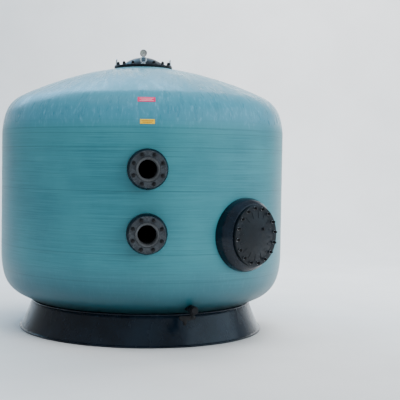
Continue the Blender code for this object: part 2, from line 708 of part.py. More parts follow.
def elbow_path(direction):
    """A right angle in the XZ plane, from a horizontal run at +X to a run up (direction 1) or down (-1)."""
    start = [Vector((ELBOW_BEND_R + ELBOW_STRAIGHT, 0, 0))]
    bend = []
    for step in range(5):
        turn = pi / 2 * step / 4
        bend.append(Vector((ELBOW_BEND_R * (1 - sin(turn)), 0, direction * ELBOW_BEND_R * (1 - cos(turn)))))
    return start + bend + [Vector((0, 0, direction * (ELBOW_BEND_R + ELBOW_STRAIGHT)))]


def build_pipe_run(name, axis, height, direction, far_z):
    """The pipe from a port to the vessel's axis, its elbow, and the upright pipe that ends at far_z."""
    pvc = grey_pvc()
    inserted = 0.050
    start, end = ELBOW_BEND_R + ELBOW_STRAIGHT - inserted, 1.270
    add_object(f"{name}_pipe", turned(flat_ring(PIPE_BORE_R, PIPE_R, start, end), 12), axis, pvc)
    elbow = swept_tube(elbow_path(direction), ELBOW_R, PIPE_R + 0.003, 12)
    vessel_axis = axis.parent
    add_object(f"{name}_elbow", elbow, vessel_axis, pvc, (0, 0, height), (0, 0, PORT_TURN - pi / 2))
    near_z = height + direction * (ELBOW_BEND_R + ELBOW_STRAIGHT - inserted)
    low, high = sorted((near_z, far_z))
    add_object(f"{name}_riser", turned(flat_ring(PIPE_BORE_R, PIPE_R, low, high), 12), vessel_axis, pvc)


def build_diffuser(axis):
    """A flared mouth on the inlet riser that spreads the water over the sand."""
    low = RISER_TOP_Z - 0.050
    outline = [
        (PIPE_R + 0.003, low), (ELBOW_R, low), (ELBOW_R, RISER_TOP_Z), (0.110, RISER_TOP_Z + 0.050),
        (DIFFUSER_R, DIFFUSER_TOP_Z), (DIFFUSER_R - 0.006, DIFFUSER_TOP_Z + 0.005),
        (0.102, RISER_TOP_Z + 0.056), (PIPE_R + 0.003, RISER_TOP_Z + 0.004),
    ]
    add_object("inlet_diffuser", turned(outline, 16), axis, grey_pvc())


def build_collector(axis):
    """The outlet's hub at the bottom, with its laterals spread like spokes."""
    bore, floor = PIPE_R + 0.003, HUB_LOW_Z + 0.012
    hub = add_object("collector_hub", turned([
        (0, HUB_LOW_Z), (HUB_R, HUB_LOW_Z), (HUB_R, HUB_HIGH_Z), (bore, HUB_HIGH_Z), (bore, floor), (0, floor),
    ], 20), axis, grey_pvc())
    turns = [tau * (k + 0.5) / LATERALS for k in range(LATERALS)]
    level = Matrix.Translation((0, 0, LATERAL_Z))
    along = [level @ Matrix.Rotation(turn, 4, "Z") @ Matrix.Rotation(pi / 2, 4, "Y") for turn in turns]
    holes = repeated(rod(LATERAL_R + 2 * GAP, 0.075, 0.130, 8), along)
    cut(hub, add_tool("collector_hub_holes", holes, axis))
    start, end_wall = 0.090, LATERAL_REACH - 0.004
    outline = [
        (0, end_wall), (LATERAL_BORE_R, end_wall), (LATERAL_BORE_R, start),
        (LATERAL_R, start), (LATERAL_R, LATERAL_REACH), (0, LATERAL_REACH),
    ]
    for number, turn in enumerate(turns, 1):
        add_object(f"lateral_{number}", turned(outline, 8), axis, grey_pvc(), (0, 0, LATERAL_Z),
                   (0, pi / 2, turn))


# ---- the whole tank --------------------------------------------------------------------------------

def clear_scene():
    for old in list(bpy.data.objects):
        bpy.data.objects.remove(old)


def main():
    clear_scene()
    vessel_axis = add_empty("vessel_axis", None, (0, AXIS_Y, 0))
    port_axes = {
        "inlet": outward_axis("inlet_axis", vessel_axis, INLET_Z, PORT_TURN),
        "outlet": outward_axis("outlet_axis", vessel_axis, OUTLET_Z, PORT_TURN),
    }
    manhole_axis = outward_axis("manhole_axis", vessel_axis, MANHOLE_Z, MANHOLE_TURN)
    drain_axis = outward_axis("drain_axis", vessel_axis, DRAIN_Z, DRAIN_TURN)
    stem_axis = add_empty("drain_stem_axis", drain_axis, (0, 0, DRAIN_BALL), (pi / 2, 0, 0))
    gauge_axis = add_empty("gauge_axis", vessel_axis, (0, -GAUGE_FORWARD, GAUGE_Z), (pi / 2, 0, 0))

    build_vessel(vessel_axis, port_axes, manhole_axis, drain_axis)
    build_skirt(vessel_axis)
    shank_end = build_top_neck(vessel_axis)
    build_top_lid(vessel_axis, shank_end)
    build_gauge(vessel_axis, gauge_axis)
    for name, port_axis in port_axes.items():
        build_port(name, port_axis)
    build_manhole(manhole_axis)
    build_drain(drain_axis, stem_axis)
    build_pipe_run("inlet", port_axes["inlet"], INLET_Z, 1, RISER_TOP_Z)
    build_pipe_run("outlet", port_axes["outlet"], OUTLET_Z, -1, HUB_LOW_Z + 0.140)
    build_diffuser(vessel_axis)
    build_collector(vessel_axis)


main()
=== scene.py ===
"""Looks of a large sand filter tank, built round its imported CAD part. Metres, +Z up, the ports face -Y.

Each visible CAD node has a smooth stand-in whose sizes are read from the node itself, in the axes of the
fitting it belongs to. Every finish is procedural.
"""

import json
from math import acos, atan2, cos, exp, pi, radians, sin, sqrt, tau

import bmesh
import bpy
from mathutils import Matrix, Vector, noise


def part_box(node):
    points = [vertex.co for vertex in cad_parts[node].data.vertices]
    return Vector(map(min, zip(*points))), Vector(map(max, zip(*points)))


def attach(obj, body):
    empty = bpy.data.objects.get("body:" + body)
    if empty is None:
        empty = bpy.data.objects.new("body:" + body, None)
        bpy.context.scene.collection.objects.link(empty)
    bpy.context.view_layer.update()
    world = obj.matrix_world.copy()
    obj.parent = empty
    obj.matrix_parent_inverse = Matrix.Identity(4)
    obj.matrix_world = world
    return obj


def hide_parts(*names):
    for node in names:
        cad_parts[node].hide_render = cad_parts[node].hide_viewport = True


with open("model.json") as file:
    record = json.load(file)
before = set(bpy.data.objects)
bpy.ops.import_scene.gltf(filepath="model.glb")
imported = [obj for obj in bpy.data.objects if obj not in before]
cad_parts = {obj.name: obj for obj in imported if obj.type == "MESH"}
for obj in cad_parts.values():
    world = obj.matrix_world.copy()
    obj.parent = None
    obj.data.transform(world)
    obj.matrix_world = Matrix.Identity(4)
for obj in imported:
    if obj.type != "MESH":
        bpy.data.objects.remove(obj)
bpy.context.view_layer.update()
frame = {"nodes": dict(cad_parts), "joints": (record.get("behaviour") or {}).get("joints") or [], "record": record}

RECORD = frame["record"]
BODY_OF = {node: body for body, nodes in RECORD["behaviour"]["bodies"].items() for node in nodes}
SLOT_OF = {part["node"]: part["material_slot"] for part in RECORD["subparts"]}
JOINTS = {joint["name"]: joint for joint in frame["joints"]}
MOUNTS = {mount["name"]: mount for mount in RECORD["mounts"]}

# Steps round a turned piece
FINE, MEDIUM, SMALL, TINY = 192, 96, 48, 24

# The vessel's dished ends: arcs of the shoulder, the knuckle and the crown
SOFT_R, SOFT_TURN = 0.700, radians(15.5)
KNUCKLE_R = 0.260
CROWN_R, CROWN_SLOPE = 2.930, radians(25.9)
# Half the cylinder's height, radius of the ends' opening and thickness of the wall
HALF_STRAIGHT = 0.513
POLE_R = 0.2575
WALL = 0.014

# Places on each bolt circle, and the circle's radius
LID_BOLTS, LID_CIRCLE = 16, 0.2395
PORT_BOLTS, PORT_CIRCLE = 8, 0.120
MANHOLE_BOLTS, MANHOLE_CIRCLE = 16, 0.219
# The manhole's bolts are turned by this much on its axis
MANHOLE_TURN = radians(6)

# Outer radius of each neck that passes through the wall, and the gap round it
PORT_NECK_R, MANHOLE_NECK_R, SPIGOT_R = 0.100, 0.230, 0.025
NECK_GAP = 0.0004

# Thickness of the lid's rim, and rise of the manhole cover's middle
LID_RIM = 0.021
COVER_BULGE = 0.018
# Bore of the pipework inside, and outer radius of its sockets
PIPE_BORE, PIPE_SOCKET_R = 0.083, 0.0903
LATERALS, LATERAL_R = range(1, 9), 0.025


# ---- places, read from the CAD part ----

def points_of(node, place):
    """A CAD node's vertices in the axes of place."""
    back = place.inverted()
    return [back @ vertex.co for vertex in frame["nodes"][node].data.vertices]


def span(node, place):
    """Lowest and highest corner of a CAD node in the axes of place."""
    points = points_of(node, place)
    return [Vector([end(point[k] for point in points) for k in range(3)]) for end in (min, max)]


def ring_of(node, place):
    """A turned CAD node's (smallest radius, largest radius, low, high) about the Z axis of place."""
    points = points_of(node, place)
    radii = [sqrt(point.x ** 2 + point.y ** 2) for point in points]
    heights = [point.z for point in points]
    return min(radii), max(radii), min(heights), max(heights)


def outward(direction, height):
    """Axes on the vessel's centre line: Z along the direction, Y up, X to the right seen from outside."""
    out = Vector(direction).normalized()
    up = Vector((0, 0, 1))
    axes = Matrix((up.cross(out), up, out)).transposed().to_4x4()
    return Matrix.Translation((AXIS.x, AXIS.y, height)) @ axes


VESSEL_LOW, VESSEL_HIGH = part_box("vessel_shell")
VESSEL_R = (VESSEL_HIGH.x - VESSEL_LOW.x) / 2
AXIS = Vector(((VESSEL_LOW.x + VESSEL_HIGH.x) / 2, (VESSEL_LOW.y + VESSEL_HIGH.y) / 2, 0))
MIDDLE_Z = (VESSEL_LOW.z + VESSEL_HIGH.z) / 2
UPRIGHT = Matrix.Translation(AXIS)


def middle_z(node):
    low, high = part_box(node)
    return (low.z + high.z) / 2


PORTS = {
    name: outward(MOUNTS[f"{name}_face"]["axis"], middle_z(f"{name}_flange"))
    for name in ("inlet", "outlet")
}
MANHOLE = outward(JOINTS["manhole_pull"]["axis"], middle_z("manhole_cover"))
MANHOLE_TURNED = MANHOLE @ Matrix.Rotation(MANHOLE_TURN, 4, "Z")
DRAIN = outward(JOINTS["drain_cap_pull"]["axis"], JOINTS["drain_turn"]["pos_m"][2])
DRAIN_BALL = (DRAIN.inverted() @ Vector(JOINTS["drain_turn"]["pos_m"])).z
STEM = DRAIN @ Matrix.Translation((0, 0, DRAIN_BALL)) @ Matrix.Rotation(pi / 2, 4, "X")
GAUGE_PIVOT = Vector(JOINTS["gauge_turn"]["pos_m"])
GAUGE = Matrix.Translation(GAUGE_PIVOT) @ Matrix.Rotation(pi / 2, 4, "X")
LID_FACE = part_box("top_lid")[0].z + LID_RIM


# ---- finishes ----

class Finish:
    """A procedural material: one Principled shader, and short calls for its texture nodes."""

    def __init__(self, name, roughness=0.5, metallic=0.0, **uniform):
        self.material = bpy.data.materials.new(f"{name}_finish")
        self.material.use_nodes = True
        self.tree = self.material.node_tree
        self.shader = self.tree.nodes["Principled BSDF"]
        self.shader.inputs["Roughness"].default_value = roughness
        self.shader.inputs["Metallic"].default_value = metallic
        for key, value in uniform.items():
            self.shader.inputs[key.replace("_", " ")].default_value = value
        self.coordinates = self.tree.nodes.new("ShaderNodeTexCoord").outputs["Object"]

    def node(self, kind, settings=(), **inputs):
        made = self.tree.nodes.new(f"ShaderNode{kind}")
        for key, value in dict(settings).items():
            setattr(made, key, value)
        for key, value in inputs.items():
            self.feed(made.inputs[key.replace("_", " ")], value)
        return made

    def feed(self, socket, value):
        if isinstance(value, bpy.types.NodeSocket):
            self.tree.links.new(value, socket)
        else:
            socket.default_value = value

    def maths(self, operation, first, second=0.0):
        made = self.node("Math", {"operation": operation})
        self.feed(made.inputs[0], first)
        self.feed(made.inputs[1], second)
        return made.outputs[0]

    def times(self, first, second):
        return self.maths("MULTIPLY", first, second)

    def plus(self, first, second):
        return self.maths("ADD", first, second)

    def grain(self, scale, detail=3.0, stretch=(1, 1, 1), where=None, rough=0.55):
        """A noise of about `scale` cells to the metre, from 0 to 1."""
        vector = self.node("Mapping", Vector=where or self.coordinates, Scale=stretch).outputs[0]
        made = self.node("TexNoise", Vector=vector, Scale=scale, Detail=detail, Roughness=rough)
        return made.outputs["Fac"]

    def spread(self, value, low, high, to_low=0.0, to_high=1.0):
        """The value's range low to high, carried smoothly to a new range."""
        made = self.node("MapRange", {"interpolation_type": "SMOOTHSTEP"}, Value=value,
                         From_Min=low, From_Max=high, To_Min=to_low, To_Max=to_high)
        return made.outputs[0]

    def mix(self, share, first, second, blend="MIX"):
        made = self.node("Mix", {"data_type": "RGBA", "blend_type": blend})
        self.feed(made.inputs[0], share)
        self.feed(made.inputs[6], first if isinstance(first, bpy.types.NodeSocket) else (*first, 1))
        self.feed(made.inputs[7], second if isinstance(second, bpy.types.NodeSocket) else (*second, 1))
        return made.outputs[2]

    def tinted(self, under, *layers):
        """The colour under, with tints over it: (pattern, value for none, value for most, most, tint)."""
        for pattern, none, full, most, tint in layers:
            under = self.mix(self.spread(pattern, none, full, 0.0, most), under, tint)
        return under

    def colour(self, value):
        self.feed(self.shader.inputs["Base Color"], value)

    def roughness(self, value):
        self.feed(self.shader.inputs["Roughness"], value)

    def relief(self, height, distance, strength=1.0):
        made = self.node("Bump", Height=height, Distance=distance, Strength=strength)
        self.feed(self.shader.inputs["Normal"], made.outputs[0])


# Dark hoops that stand proud of the wall or lie below it: height, half width and depth
PROUD_HOOPS = (
    (1.801, 0.007, 0.0010), (1.742, 0.010, 0.0012), (1.700, 0.006, -0.0008), (1.590, 0.008, 0.0010),
    (1.560, 0.005, -0.0006), (0.541, 0.008, 0.0009), (1.250, 0.006, 0.0004), (0.760, 0.007, 0.0005),
)

DEEP_TEAL = (0.022, 0.165, 0.205)
TEAL = (0.034, 0.210, 0.250)
PALE_TEAL = (0.055, 0.270, 0.320)
DOME_TEAL = (0.036, 0.200, 0.275)
DOME_PALE = (0.060, 0.275, 0.375)
STRAND_WHITE = (0.140, 0.390, 0.540)
SHADE_TEAL = (0.001, 0.045, 0.060)
FOOT_SHADE = (0.002, 0.012, 0.014)


def winding_angles(finish):
    """Two vectors that stay the same along the two families of strands wound over the dished ends."""
    x, y, z = finish.node("SeparateXYZ", Vector=finish.coordinates).outputs
    radius = finish.maths("SQRT", finish.plus(finish.times(x, x), finish.times(y, y)))
    lean = finish.maths("ARCCOSINE", finish.maths("MINIMUM", finish.maths("DIVIDE", POLE_R, radius), 1.0))
    turn = finish.maths("ARCTAN2", y, x)
    families = []
    for sign in ("ADD", "SUBTRACT"):
        angle = finish.maths(sign, turn, lean)
        vector = finish.node("CombineXYZ", X=finish.maths("COSINE", angle), Y=finish.maths("SINE", angle),
                             Z=finish.times(z, 0.25))
        families.append(vector.outputs[0])
    return families, radius, z


def wound_laminate():
    """Glass strands under a tinted resin: hoops round the cylinder, crossing strands over the ends."""
    finish = Finish("wound_laminate", Specular_IOR_Level=0.32, Coat_Weight=0.30, Coat_Roughness=0.30,
                    Coat_IOR=1.5)
    grain, spread, mix, times, plus = finish.grain, finish.spread, finish.mix, finish.times, finish.plus
    families, radius, height = winding_angles(finish)
    cylinder_top = MIDDLE_Z + HALF_STRAIGHT
    on_top = spread(height, cylinder_top + 0.02, cylinder_top + 0.16)
    below = spread(height, 0.72, 0.30)
    off_cylinder = finish.maths("MAXIMUM", on_top, times(below, 0.5))

    threads = grain(6.0, 5.0, (0.30, 0.30, 21.0), rough=0.75)
    hoops = grain(3.0, 4.0, (0.22, 0.22, 7.0), rough=0.7)
    clouds = grain(2.2, 5.0)
    strands, broad_strands = (
        times(plus(*(grain(scale, 4.0, where=family) for family in families)), 0.5) for scale in (70.0, 22.0)
    )

    body = finish.tinted(
        mix(spread(clouds, 0.30, 0.70), DEEP_TEAL, TEAL), (hoops, 0.35, 0.75, 0.20, PALE_TEAL),
        (threads, 0.48, 0.70, 0.52, PALE_TEAL), (threads, 0.48, 0.28, 0.36, SHADE_TEAL),
    )
    for level, half_width, _ in PROUD_HOOPS:
        away = finish.maths("ABSOLUTE", finish.maths("SUBTRACT", height, level))
        body = finish.tinted(body, (away, half_width, 0.0, 0.30, SHADE_TEAL))
    crossed = finish.tinted(
        mix(spread(broad_strands, 0.35, 0.70, 0.1, 0.50), DOME_TEAL, DOME_PALE),
        (strands, 0.50, 0.70, 0.60, STRAND_WHITE), (strands, 0.47, 0.30, 0.35, DEEP_TEAL),
    )
    # Painted shadow: a ring of darker teal on the dome round the lid. The same ring is also made rougher.
    ring = times(spread(radius, 0.42, 0.31), on_top)
    crossed = mix(times(ring, 0.60), crossed, DEEP_TEAL)
    # Painted shade: the wall darkens towards the bottom, and nearly to black just above the skirt, where the
    # vessel meets it.
    skin = mix(times(below, 0.86), mix(off_cylinder, body, crossed), SHADE_TEAL)
    finish.colour(finish.tinted(skin, (height, 0.37, 0.25, 0.85, FOOT_SHADE)))

    streaks = times(spread(broad_strands, 0.35, 0.65, -0.10, 0.16), on_top)
    gloss = plus(spread(on_top, 0.0, 1.0, 0.46, 0.30), plus(streaks, times(ring, 0.35)))
    finish.roughness(plus(gloss, spread(clouds, 0.3, 0.7, -0.04, 0.04)))
    relief = mix(off_cylinder, mix(0.4, threads, hoops), mix(0.5, strands, broad_strands))
    finish.relief(relief, 0.0030, 0.45)
    return finish.material


def mottled(name, scale, dark, bright, edges=(0.3, 0.7), gloss=None, relief=None, detail=3.0, **shader):
    """One grain that shades the colour and, where given, the gloss and the surface."""
    finish = Finish(name, **shader)
    grain = finish.grain(scale, detail)
    finish.colour(finish.mix(finish.spread(grain, *edges), dark, bright))
    if gloss:
        finish.roughness(finish.spread(grain, *gloss))
    if relief:
        finish.relief(grain, *relief)
    return finish.material


def clouded(name, clouds, marks, shades, tint, gloss, relief):
    """Clouds of two shades, under marks of a third that also show in the gloss and the surface."""
    finish = Finish(name, roughness=0.35)
    marks = finish.grain(*marks)
    base = finish.mix(finish.spread(finish.grain(*clouds), 0.35, 0.65), *shades)
    finish.colour(finish.tinted(base, (marks, *tint)))
    finish.roughness(finish.spread(marks, *gloss))
    finish.relief(marks, *relief)
    return finish.material


def black_coat(name, base, bloom, scale, roughness, pebble):
    """A black moulded or sprayed skin: a bluish bloom, smears in the gloss and a fine surface."""
    finish = Finish(name, roughness=roughness[0], Specular_IOR_Level=0.28)
    clouds = finish.grain(scale, 5.0)
    smears = finish.grain(scale * 2.3, 4.0, (1.0, 1.0, 0.35), rough=0.65)
    dust = finish.grain(scale * 60, 2.0)
    dark = finish.mix(finish.spread(clouds, 0.35, 0.72), base, bloom)
    speckled = finish.times(finish.spread(dust, 0.62, 0.76), 0.06)
    finish.colour(finish.mix(speckled, dark, (0.20, 0.21, 0.22)))
    finish.roughness(finish.spread(smears, 0.35, 0.70, *roughness))
    finish.relief(finish.mix(0.25, clouds, finish.grain(scale * 90, 2.0)), pebble, 0.6)
    return finish.material


def port_plastic():
    """A glossy moulded ring with the fine circular lines of its facing cut."""
    finish = Finish("port_plastic", roughness=0.2)
    rings = finish.node("TexWave", {"wave_type": "RINGS", "rings_direction": "Z"}, Vector=finish.coordinates,
                        Scale=330.0, Distortion=1.2, Detail=2.0).outputs["Fac"]
    clouds = finish.grain(14.0, 4.0)
    grey = finish.mix(finish.spread(clouds, 0.35, 0.68), (0.014, 0.019, 0.025), (0.034, 0.043, 0.052))
    finish.colour(finish.mix(finish.times(rings, 0.25), grey, (0.050, 0.058, 0.066)))
    finish.roughness(finish.spread(clouds, 0.3, 0.7, 0.14, 0.34))
    finish.relief(finish.mix(0.3, rings, clouds), 0.0004, 0.6)
    return finish.material


def brushed(name, dark, bright, roughness):
    """A metal with fine marks along its turning and faint stains."""
    finish = Finish(name, roughness=0.3, metallic=1.0)
    marks = finish.grain(260.0, 3.0, (1.0, 1.0, 7.0))
    stains = finish.grain(38.0, 4.0)
    finish.colour(finish.mix(finish.spread(stains, 0.30, 0.70), dark, bright))
    finish.roughness(finish.spread(marks, 0.3, 0.7, *roughness))
    finish.relief(marks, 0.0001, 0.5)
    return finish.material


def printed_film(name, colour, worn):
    """A printed plastic label: even ink with slight fading."""
    return mottled(name, 26.0, colour, worn, (0.35, 0.70), (0.3, 0.7, 0.25, 0.45), (0.0002, 0.4), 4.0,
                   roughness=0.35)


FINISHES = {
    made.name.removesuffix("_finish"): made
    for made in (
        wound_laminate(),
        clouded("neck_laminate", (14.0,), (160.0, 3.0, (0.3, 0.3, 1.0)),
                ((0.26, 0.50, 0.60), (0.42, 0.64, 0.72)),
                (0.5, 0.7, 0.4, (0.62, 0.78, 0.84)), (0.3, 0.7, 0.28, 0.5), (0.0006,)),
        black_coat("black_gelcoat", (0.001, 0.004, 0.009), (0.005, 0.012, 0.022), 3.2, (0.16, 0.34), 0.0010),
        black_coat("moulded_black", (0.001, 0.002, 0.004), (0.003, 0.006, 0.010), 9.0, (0.32, 0.50), 0.0005),
        port_plastic(),
        clouded("grey_pvc", (8.0, 4.0), (60.0, 4.0, (1.0, 1.0, 0.15)),
                ((0.042, 0.047, 0.052), (0.078, 0.085, 0.092)),
                (0.60, 0.72, 0.5, (0.12, 0.125, 0.13)), (0.35, 0.70, 0.26, 0.48), (0.0004, 0.5)),
        mottled("seal_rubber", 420.0, (0.010, 0.010, 0.011), (0.030, 0.030, 0.031), (0.4, 0.7),
                (0.3, 0.7, 0.60, 0.85), (0.0003,), roughness=0.7),
        black_coat("cap_plastic", (0.001, 0.001, 0.002), (0.004, 0.004, 0.005), 30.0, (0.42, 0.60), 0.0002),
        brushed("stainless", (0.56, 0.58, 0.60), (0.82, 0.83, 0.84), (0.14, 0.32)),
        brushed("brass", (0.40, 0.27, 0.10), (0.66, 0.49, 0.21), (0.20, 0.40)),
        mottled("gauge_glass", 90.0, (0.93, 0.96, 0.96), (0.99, 1.0, 1.0), gloss=(0.35, 0.75, 0.01, 0.06),
                roughness=0.03, Transmission_Weight=1.0, IOR=1.45),
        mottled("dial_white", 900.0, (0.78, 0.78, 0.75), (0.86, 0.86, 0.83), relief=(0.0001, 0.3)),
        mottled("pointer_black", 1500.0, (0.008, 0.008, 0.009), (0.022, 0.022, 0.024), relief=(0.00005, 0.4),
                roughness=0.4),
    )
}


# ---- shapes ----

def arc(centre, radius, start, end, steps):
    """Points (radius, height) on an arc, both ends included."""
    turns = [start + (end - start) * k / steps for k in range(steps + 1)]
    return [(centre[0] + radius * cos(turn), centre[1] + radius * sin(turn)) for turn in turns]


# Cosine over which two sides count as one
NEARLY_STRAIGHT = 0.97


def softened(outline, radius, steps=3, closed=True):
    """The outline with each corner rounded to about this radius, less where its sides are short."""
    points = [Vector(point) for point in outline]
    count = len(points)
    made = []
    for index, corner in enumerate(points):
        at_end = not closed and index in (0, count - 1)
        before, after = points[index - 1], points[(index + 1) % count]
        back, on = before - corner, after - corner
        no_side = min(back.length, on.length) < 1e-7
        if at_end or no_side or abs(back.normalized().dot(on.normalized())) > NEARLY_STRAIGHT:
            made.append(tuple(corner))
            continue
        reach = min(radius, 0.45 * back.length, 0.45 * on.length)
        start, end = corner + back.normalized() * reach, corner + on.normalized() * reach
        for step in range(steps + 1):
            share = step / steps
            curve = (1 - share) ** 2 * start + 2 * share * (1 - share) * corner + share ** 2 * end
            made.append(tuple(curve))
    return made


def turned(outline, steps, closed=True):
    """A bmesh turned about Z from (radius, height) points. A point on the axis becomes one vertex."""
    shape = bmesh.new()
    rings = []
    for radius, height in outline:
        if radius < 1e-6:
            rings.append([shape.verts.new((0, 0, height))])
        else:
            rings.append([
                shape.verts.new((radius * cos(tau * k / steps), radius * sin(tau * k / steps), height))
                for k in range(steps)
            ])
    pairs = list(zip(rings, rings[1:]))
    if closed and len(rings[0]) > 1 and len(rings[-1]) > 1:
        pairs.append((rings[-1], rings[0]))
    for lower, upper in pairs:
        if len(lower) == len(upper) == 1:
            continue
        for k in range(steps):
            after = (k + 1) % steps
            if len(lower) == 1:
                shape.faces.new((lower[0], upper[after], upper[k]))
            elif len(upper) == 1:
                shape.faces.new((lower[k], lower[after], upper[0]))
            else:
                shape.faces.new((lower[k], lower[after], upper[after], upper[k]))
    bmesh.ops.recalc_face_normals(shape, faces=shape.faces)
    return shape


def soft_turned(outline, radius, steps):
    """The outline turned about Z with rounded corners. One that starts on the axis isn't closed."""
    return turned(softened(outline, radius, closed=outline[0][0] > 0), steps)


def soft_ring(inner, outer, low, high, radius, steps):
    return soft_turned([(inner, low), (outer, low), (outer, high), (inner, high)], radius, steps)


def rod(radius, low, high, steps):
    return turned([(0, low), (radius, low), (radius, high), (0, high)], steps)


def swept(path, radius, bore_radius, steps, across):
    """A tube with an open bore along a flat path; across is the path plane's normal."""
    shape = bmesh.new()
    rings = []
    for index, point in enumerate(path):
        along = (path[min(index + 1, len(path) - 1)] - path[max(index - 1, 0)]).normalized()
        side = along.cross(across)
        for size in (radius, bore_radius):
            rings.append([
                shape.verts.new(point + size * (cos(tau * k / steps) * side + sin(tau * k / steps) * across))
                for k in range(steps)
            ])
    outer, inner = rings[0::2], rings[1::2]
    walls = list(zip(outer, outer[1:])) + list(zip(inner, inner[1:]))
    for first, second in walls + [(outer[0], inner[0]), (outer[-1], inner[-1])]:
        for k in range(steps):
            after = (k + 1) % steps
            shape.faces.new((first[k], first[after], second[after], second[k]))
    bmesh.ops.recalc_face_normals(shape, faces=shape.faces)
    return shape


def slab(outline, low, high):
    """A flat outline of (x, y) points, given thickness from low to high."""
    shape = bmesh.new()
    face = shape.faces.new([shape.verts.new((x, y, low)) for x, y in outline])
    grown = bmesh.ops.extrude_face_region(shape, geom=[face])["geom"]
    top = [part for part in grown if isinstance(part, bmesh.types.BMVert)]
    bmesh.ops.translate(shape, vec=(0, 0, high - low), verts=top)
    bmesh.ops.recalc_face_normals(shape, faces=shape.faces)
    return shape


def hexagon(across_flats):
    radius = across_flats / (2 * cos(pi / 6))
    return [(radius * cos(tau * k / 6), radius * sin(tau * k / 6)) for k in range(6)]


def gather(*pieces):
    """One bmesh of several (bmesh, matrix) pairs; a third value gives a material number."""
    whole = bmesh.new()
    for piece, matrix, *number in pieces:
        if number:
            for face in piece.faces:
                face.material_index = number[0]
        single = bpy.data.meshes.new("single")
        piece.to_mesh(single)
        start = len(whole.verts)
        whole.from_mesh(single)
        whole.verts.ensure_lookup_table()
        bmesh.ops.transform(whole, matrix=matrix, verts=whole.verts[start:])
        bpy.data.meshes.remove(single)
        piece.free()
    return whole


def at(x=0.0, y=0.0, z=0.0):
    return Matrix.Translation((x, y, z))


def circle_places(circle, count, first=-pi / 2, skipped=()):
    """Axes at each place of a bolt circle, with Y towards its centre."""
    turns = [first + tau * k / count for k in range(count) if k not in skipped]
    return [
        at(circle * cos(turn), circle * sin(turn)) @ Matrix.Rotation(turn + pi / 2, 4, "Z")
        for turn in turns
    ]


# Edges with a wider angle than this are drawn sharp
SHARP = radians(35)


def add_mesh(name, shape, place, finishes):
    mesh = bpy.data.meshes.new(name)
    shape.to_mesh(mesh)
    shape.free()
    for finish in finishes:
        mesh.materials.append(finish)
    mesh.shade_smooth()
    mesh.set_sharp_from_angle(angle=SHARP)
    made = bpy.data.objects.new(name, mesh)
    bpy.context.scene.collection.objects.link(made)
    made.matrix_world = place
    return made


def carve(piece, tool_shape, place, operation="DIFFERENCE"):
    """Cuts the tool from the piece, or joins it on, and keeps the result as the piece's mesh."""
    tool = add_mesh("tool", tool_shape, place, ())
    step = piece.modifiers.new("carve", "BOOLEAN")
    step.operation, step.object, step.solver = operation, tool, "EXACT"
    bpy.context.view_layer.update()
    evaluated = piece.evaluated_get(bpy.context.evaluated_depsgraph_get())
    result = bpy.data.meshes.new_from_object(evaluated)
    piece.modifiers.clear()
    old, old_tool = piece.data, tool.data
    piece.data = result
    result.shade_smooth()
    result.set_sharp_from_angle(angle=SHARP)
    bpy.data.objects.remove(tool)
    bpy.data.meshes.remove(old)
    bpy.data.meshes.remove(old_tool)


def stand_in(piece, node):
    """The piece takes the place and body of this CAD node, which is hidden."""
    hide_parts(node)
    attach(piece, BODY_OF[node])


def look(node, shape, place, extra=()):
    """A stand-in for one CAD node, in the finish of the node's slot."""
    stand_in(add_mesh(f"{node}_look", shape, place, (FINISHES[SLOT_OF[node]], *extra)), node)


def look_cut(node, shape, place, *cuts):
    """A stand-in for one CAD node, cut by each (bmesh, matrix) tool. A third value gives the operation."""
    piece = add_mesh(f"{node}_look", shape, place, (FINISHES[SLOT_OF[node]],))
    for cut in cuts:
        carve(piece, *cut)
    stand_in(piece, node)


def look_ring(node, place, radius, steps):
    """A stand-in for a plain ring, with its edges rounded to this radius."""
    look(node, soft_ring(*ring_of(node, place), radius, steps), place)


def look_disc(node, place, radius, steps):
    """A stand-in for a plain disc or pin, with its edges rounded to this radius."""
    _, outer, low, high = ring_of(node, place)
    look(node, soft_turned([(0, low), (outer, low), (outer, high), (0, high)], radius, steps), place)


# ---- vessel ----

def end_outline(inset, soft_steps, knuckle_steps, crown_steps):
    """(radius, height over the cylinder's end) points of a dished end, from its rim to the pole opening."""
    crown_turn = pi / 2 - CROWN_SLOPE
    soft_centre = Vector((VESSEL_R - SOFT_R, 0))
    knuckle_centre = soft_centre + (SOFT_R - KNUCKLE_R) * Vector((cos(SOFT_TURN), sin(SOFT_TURN)))
    crown_centre = knuckle_centre + (KNUCKLE_R - CROWN_R) * Vector((cos(crown_turn), sin(crown_turn)))
    pole_turn = acos((POLE_R - crown_centre.x) / (CROWN_R - inset))
    return (
        arc(soft_centre, SOFT_R - inset, 0.0, SOFT_TURN, soft_steps)
        + arc(knuckle_centre, KNUCKLE_R - inset, SOFT_TURN, crown_turn, knuckle_steps)[1:]
        + arc(crown_centre, CROWN_R - inset, crown_turn, pole_turn, crown_steps)[1:]
    )


def mirrored_ends(inset, *steps):
    """One face of the wall in two lists: up from the bottom plate's edge, and on up to the top opening."""
    rise = end_outline(inset, *steps)
    lower = [(radius, MIDDLE_Z - HALF_STRAIGHT - height) for radius, height in rise]
    upper = [(radius, MIDDLE_Z + HALF_STRAIGHT + height) for radius, height in rise]
    return lower[::-1], upper


# Steps of the shoulder, the knuckle and the crown
END_STEPS = (8, 20, 28)
HOOP_ROWS = 120
# The ends' unevenness fades in over this length
END_FADE = 0.10
# Distances from the axis that the near wall lies between, and the nearer start at the low drain
HOLE_START, DRAIN_START, HOLE_END = 1.10, 0.95, 1.32


def level_at(points, radius):
    """Height at this radius on (radius, height) points with rising radii, or None beyond them."""
    for (r_in, z_in), (r_out, z_out) in zip(points, points[1:]):
        if r_in <= radius <= r_out:
            return z_in + (z_out - z_in) * (radius - r_in) / (r_out - r_in)
    return None


LOWER_END = mirrored_ends(0.0, *END_STEPS)[0]
MIDDLE_OF_WALL = end_outline(WALL / 2, 4, 8, 12)[::-1]
UPPER_END = mirrored_ends(0.0, 16, 40, 56)[1]


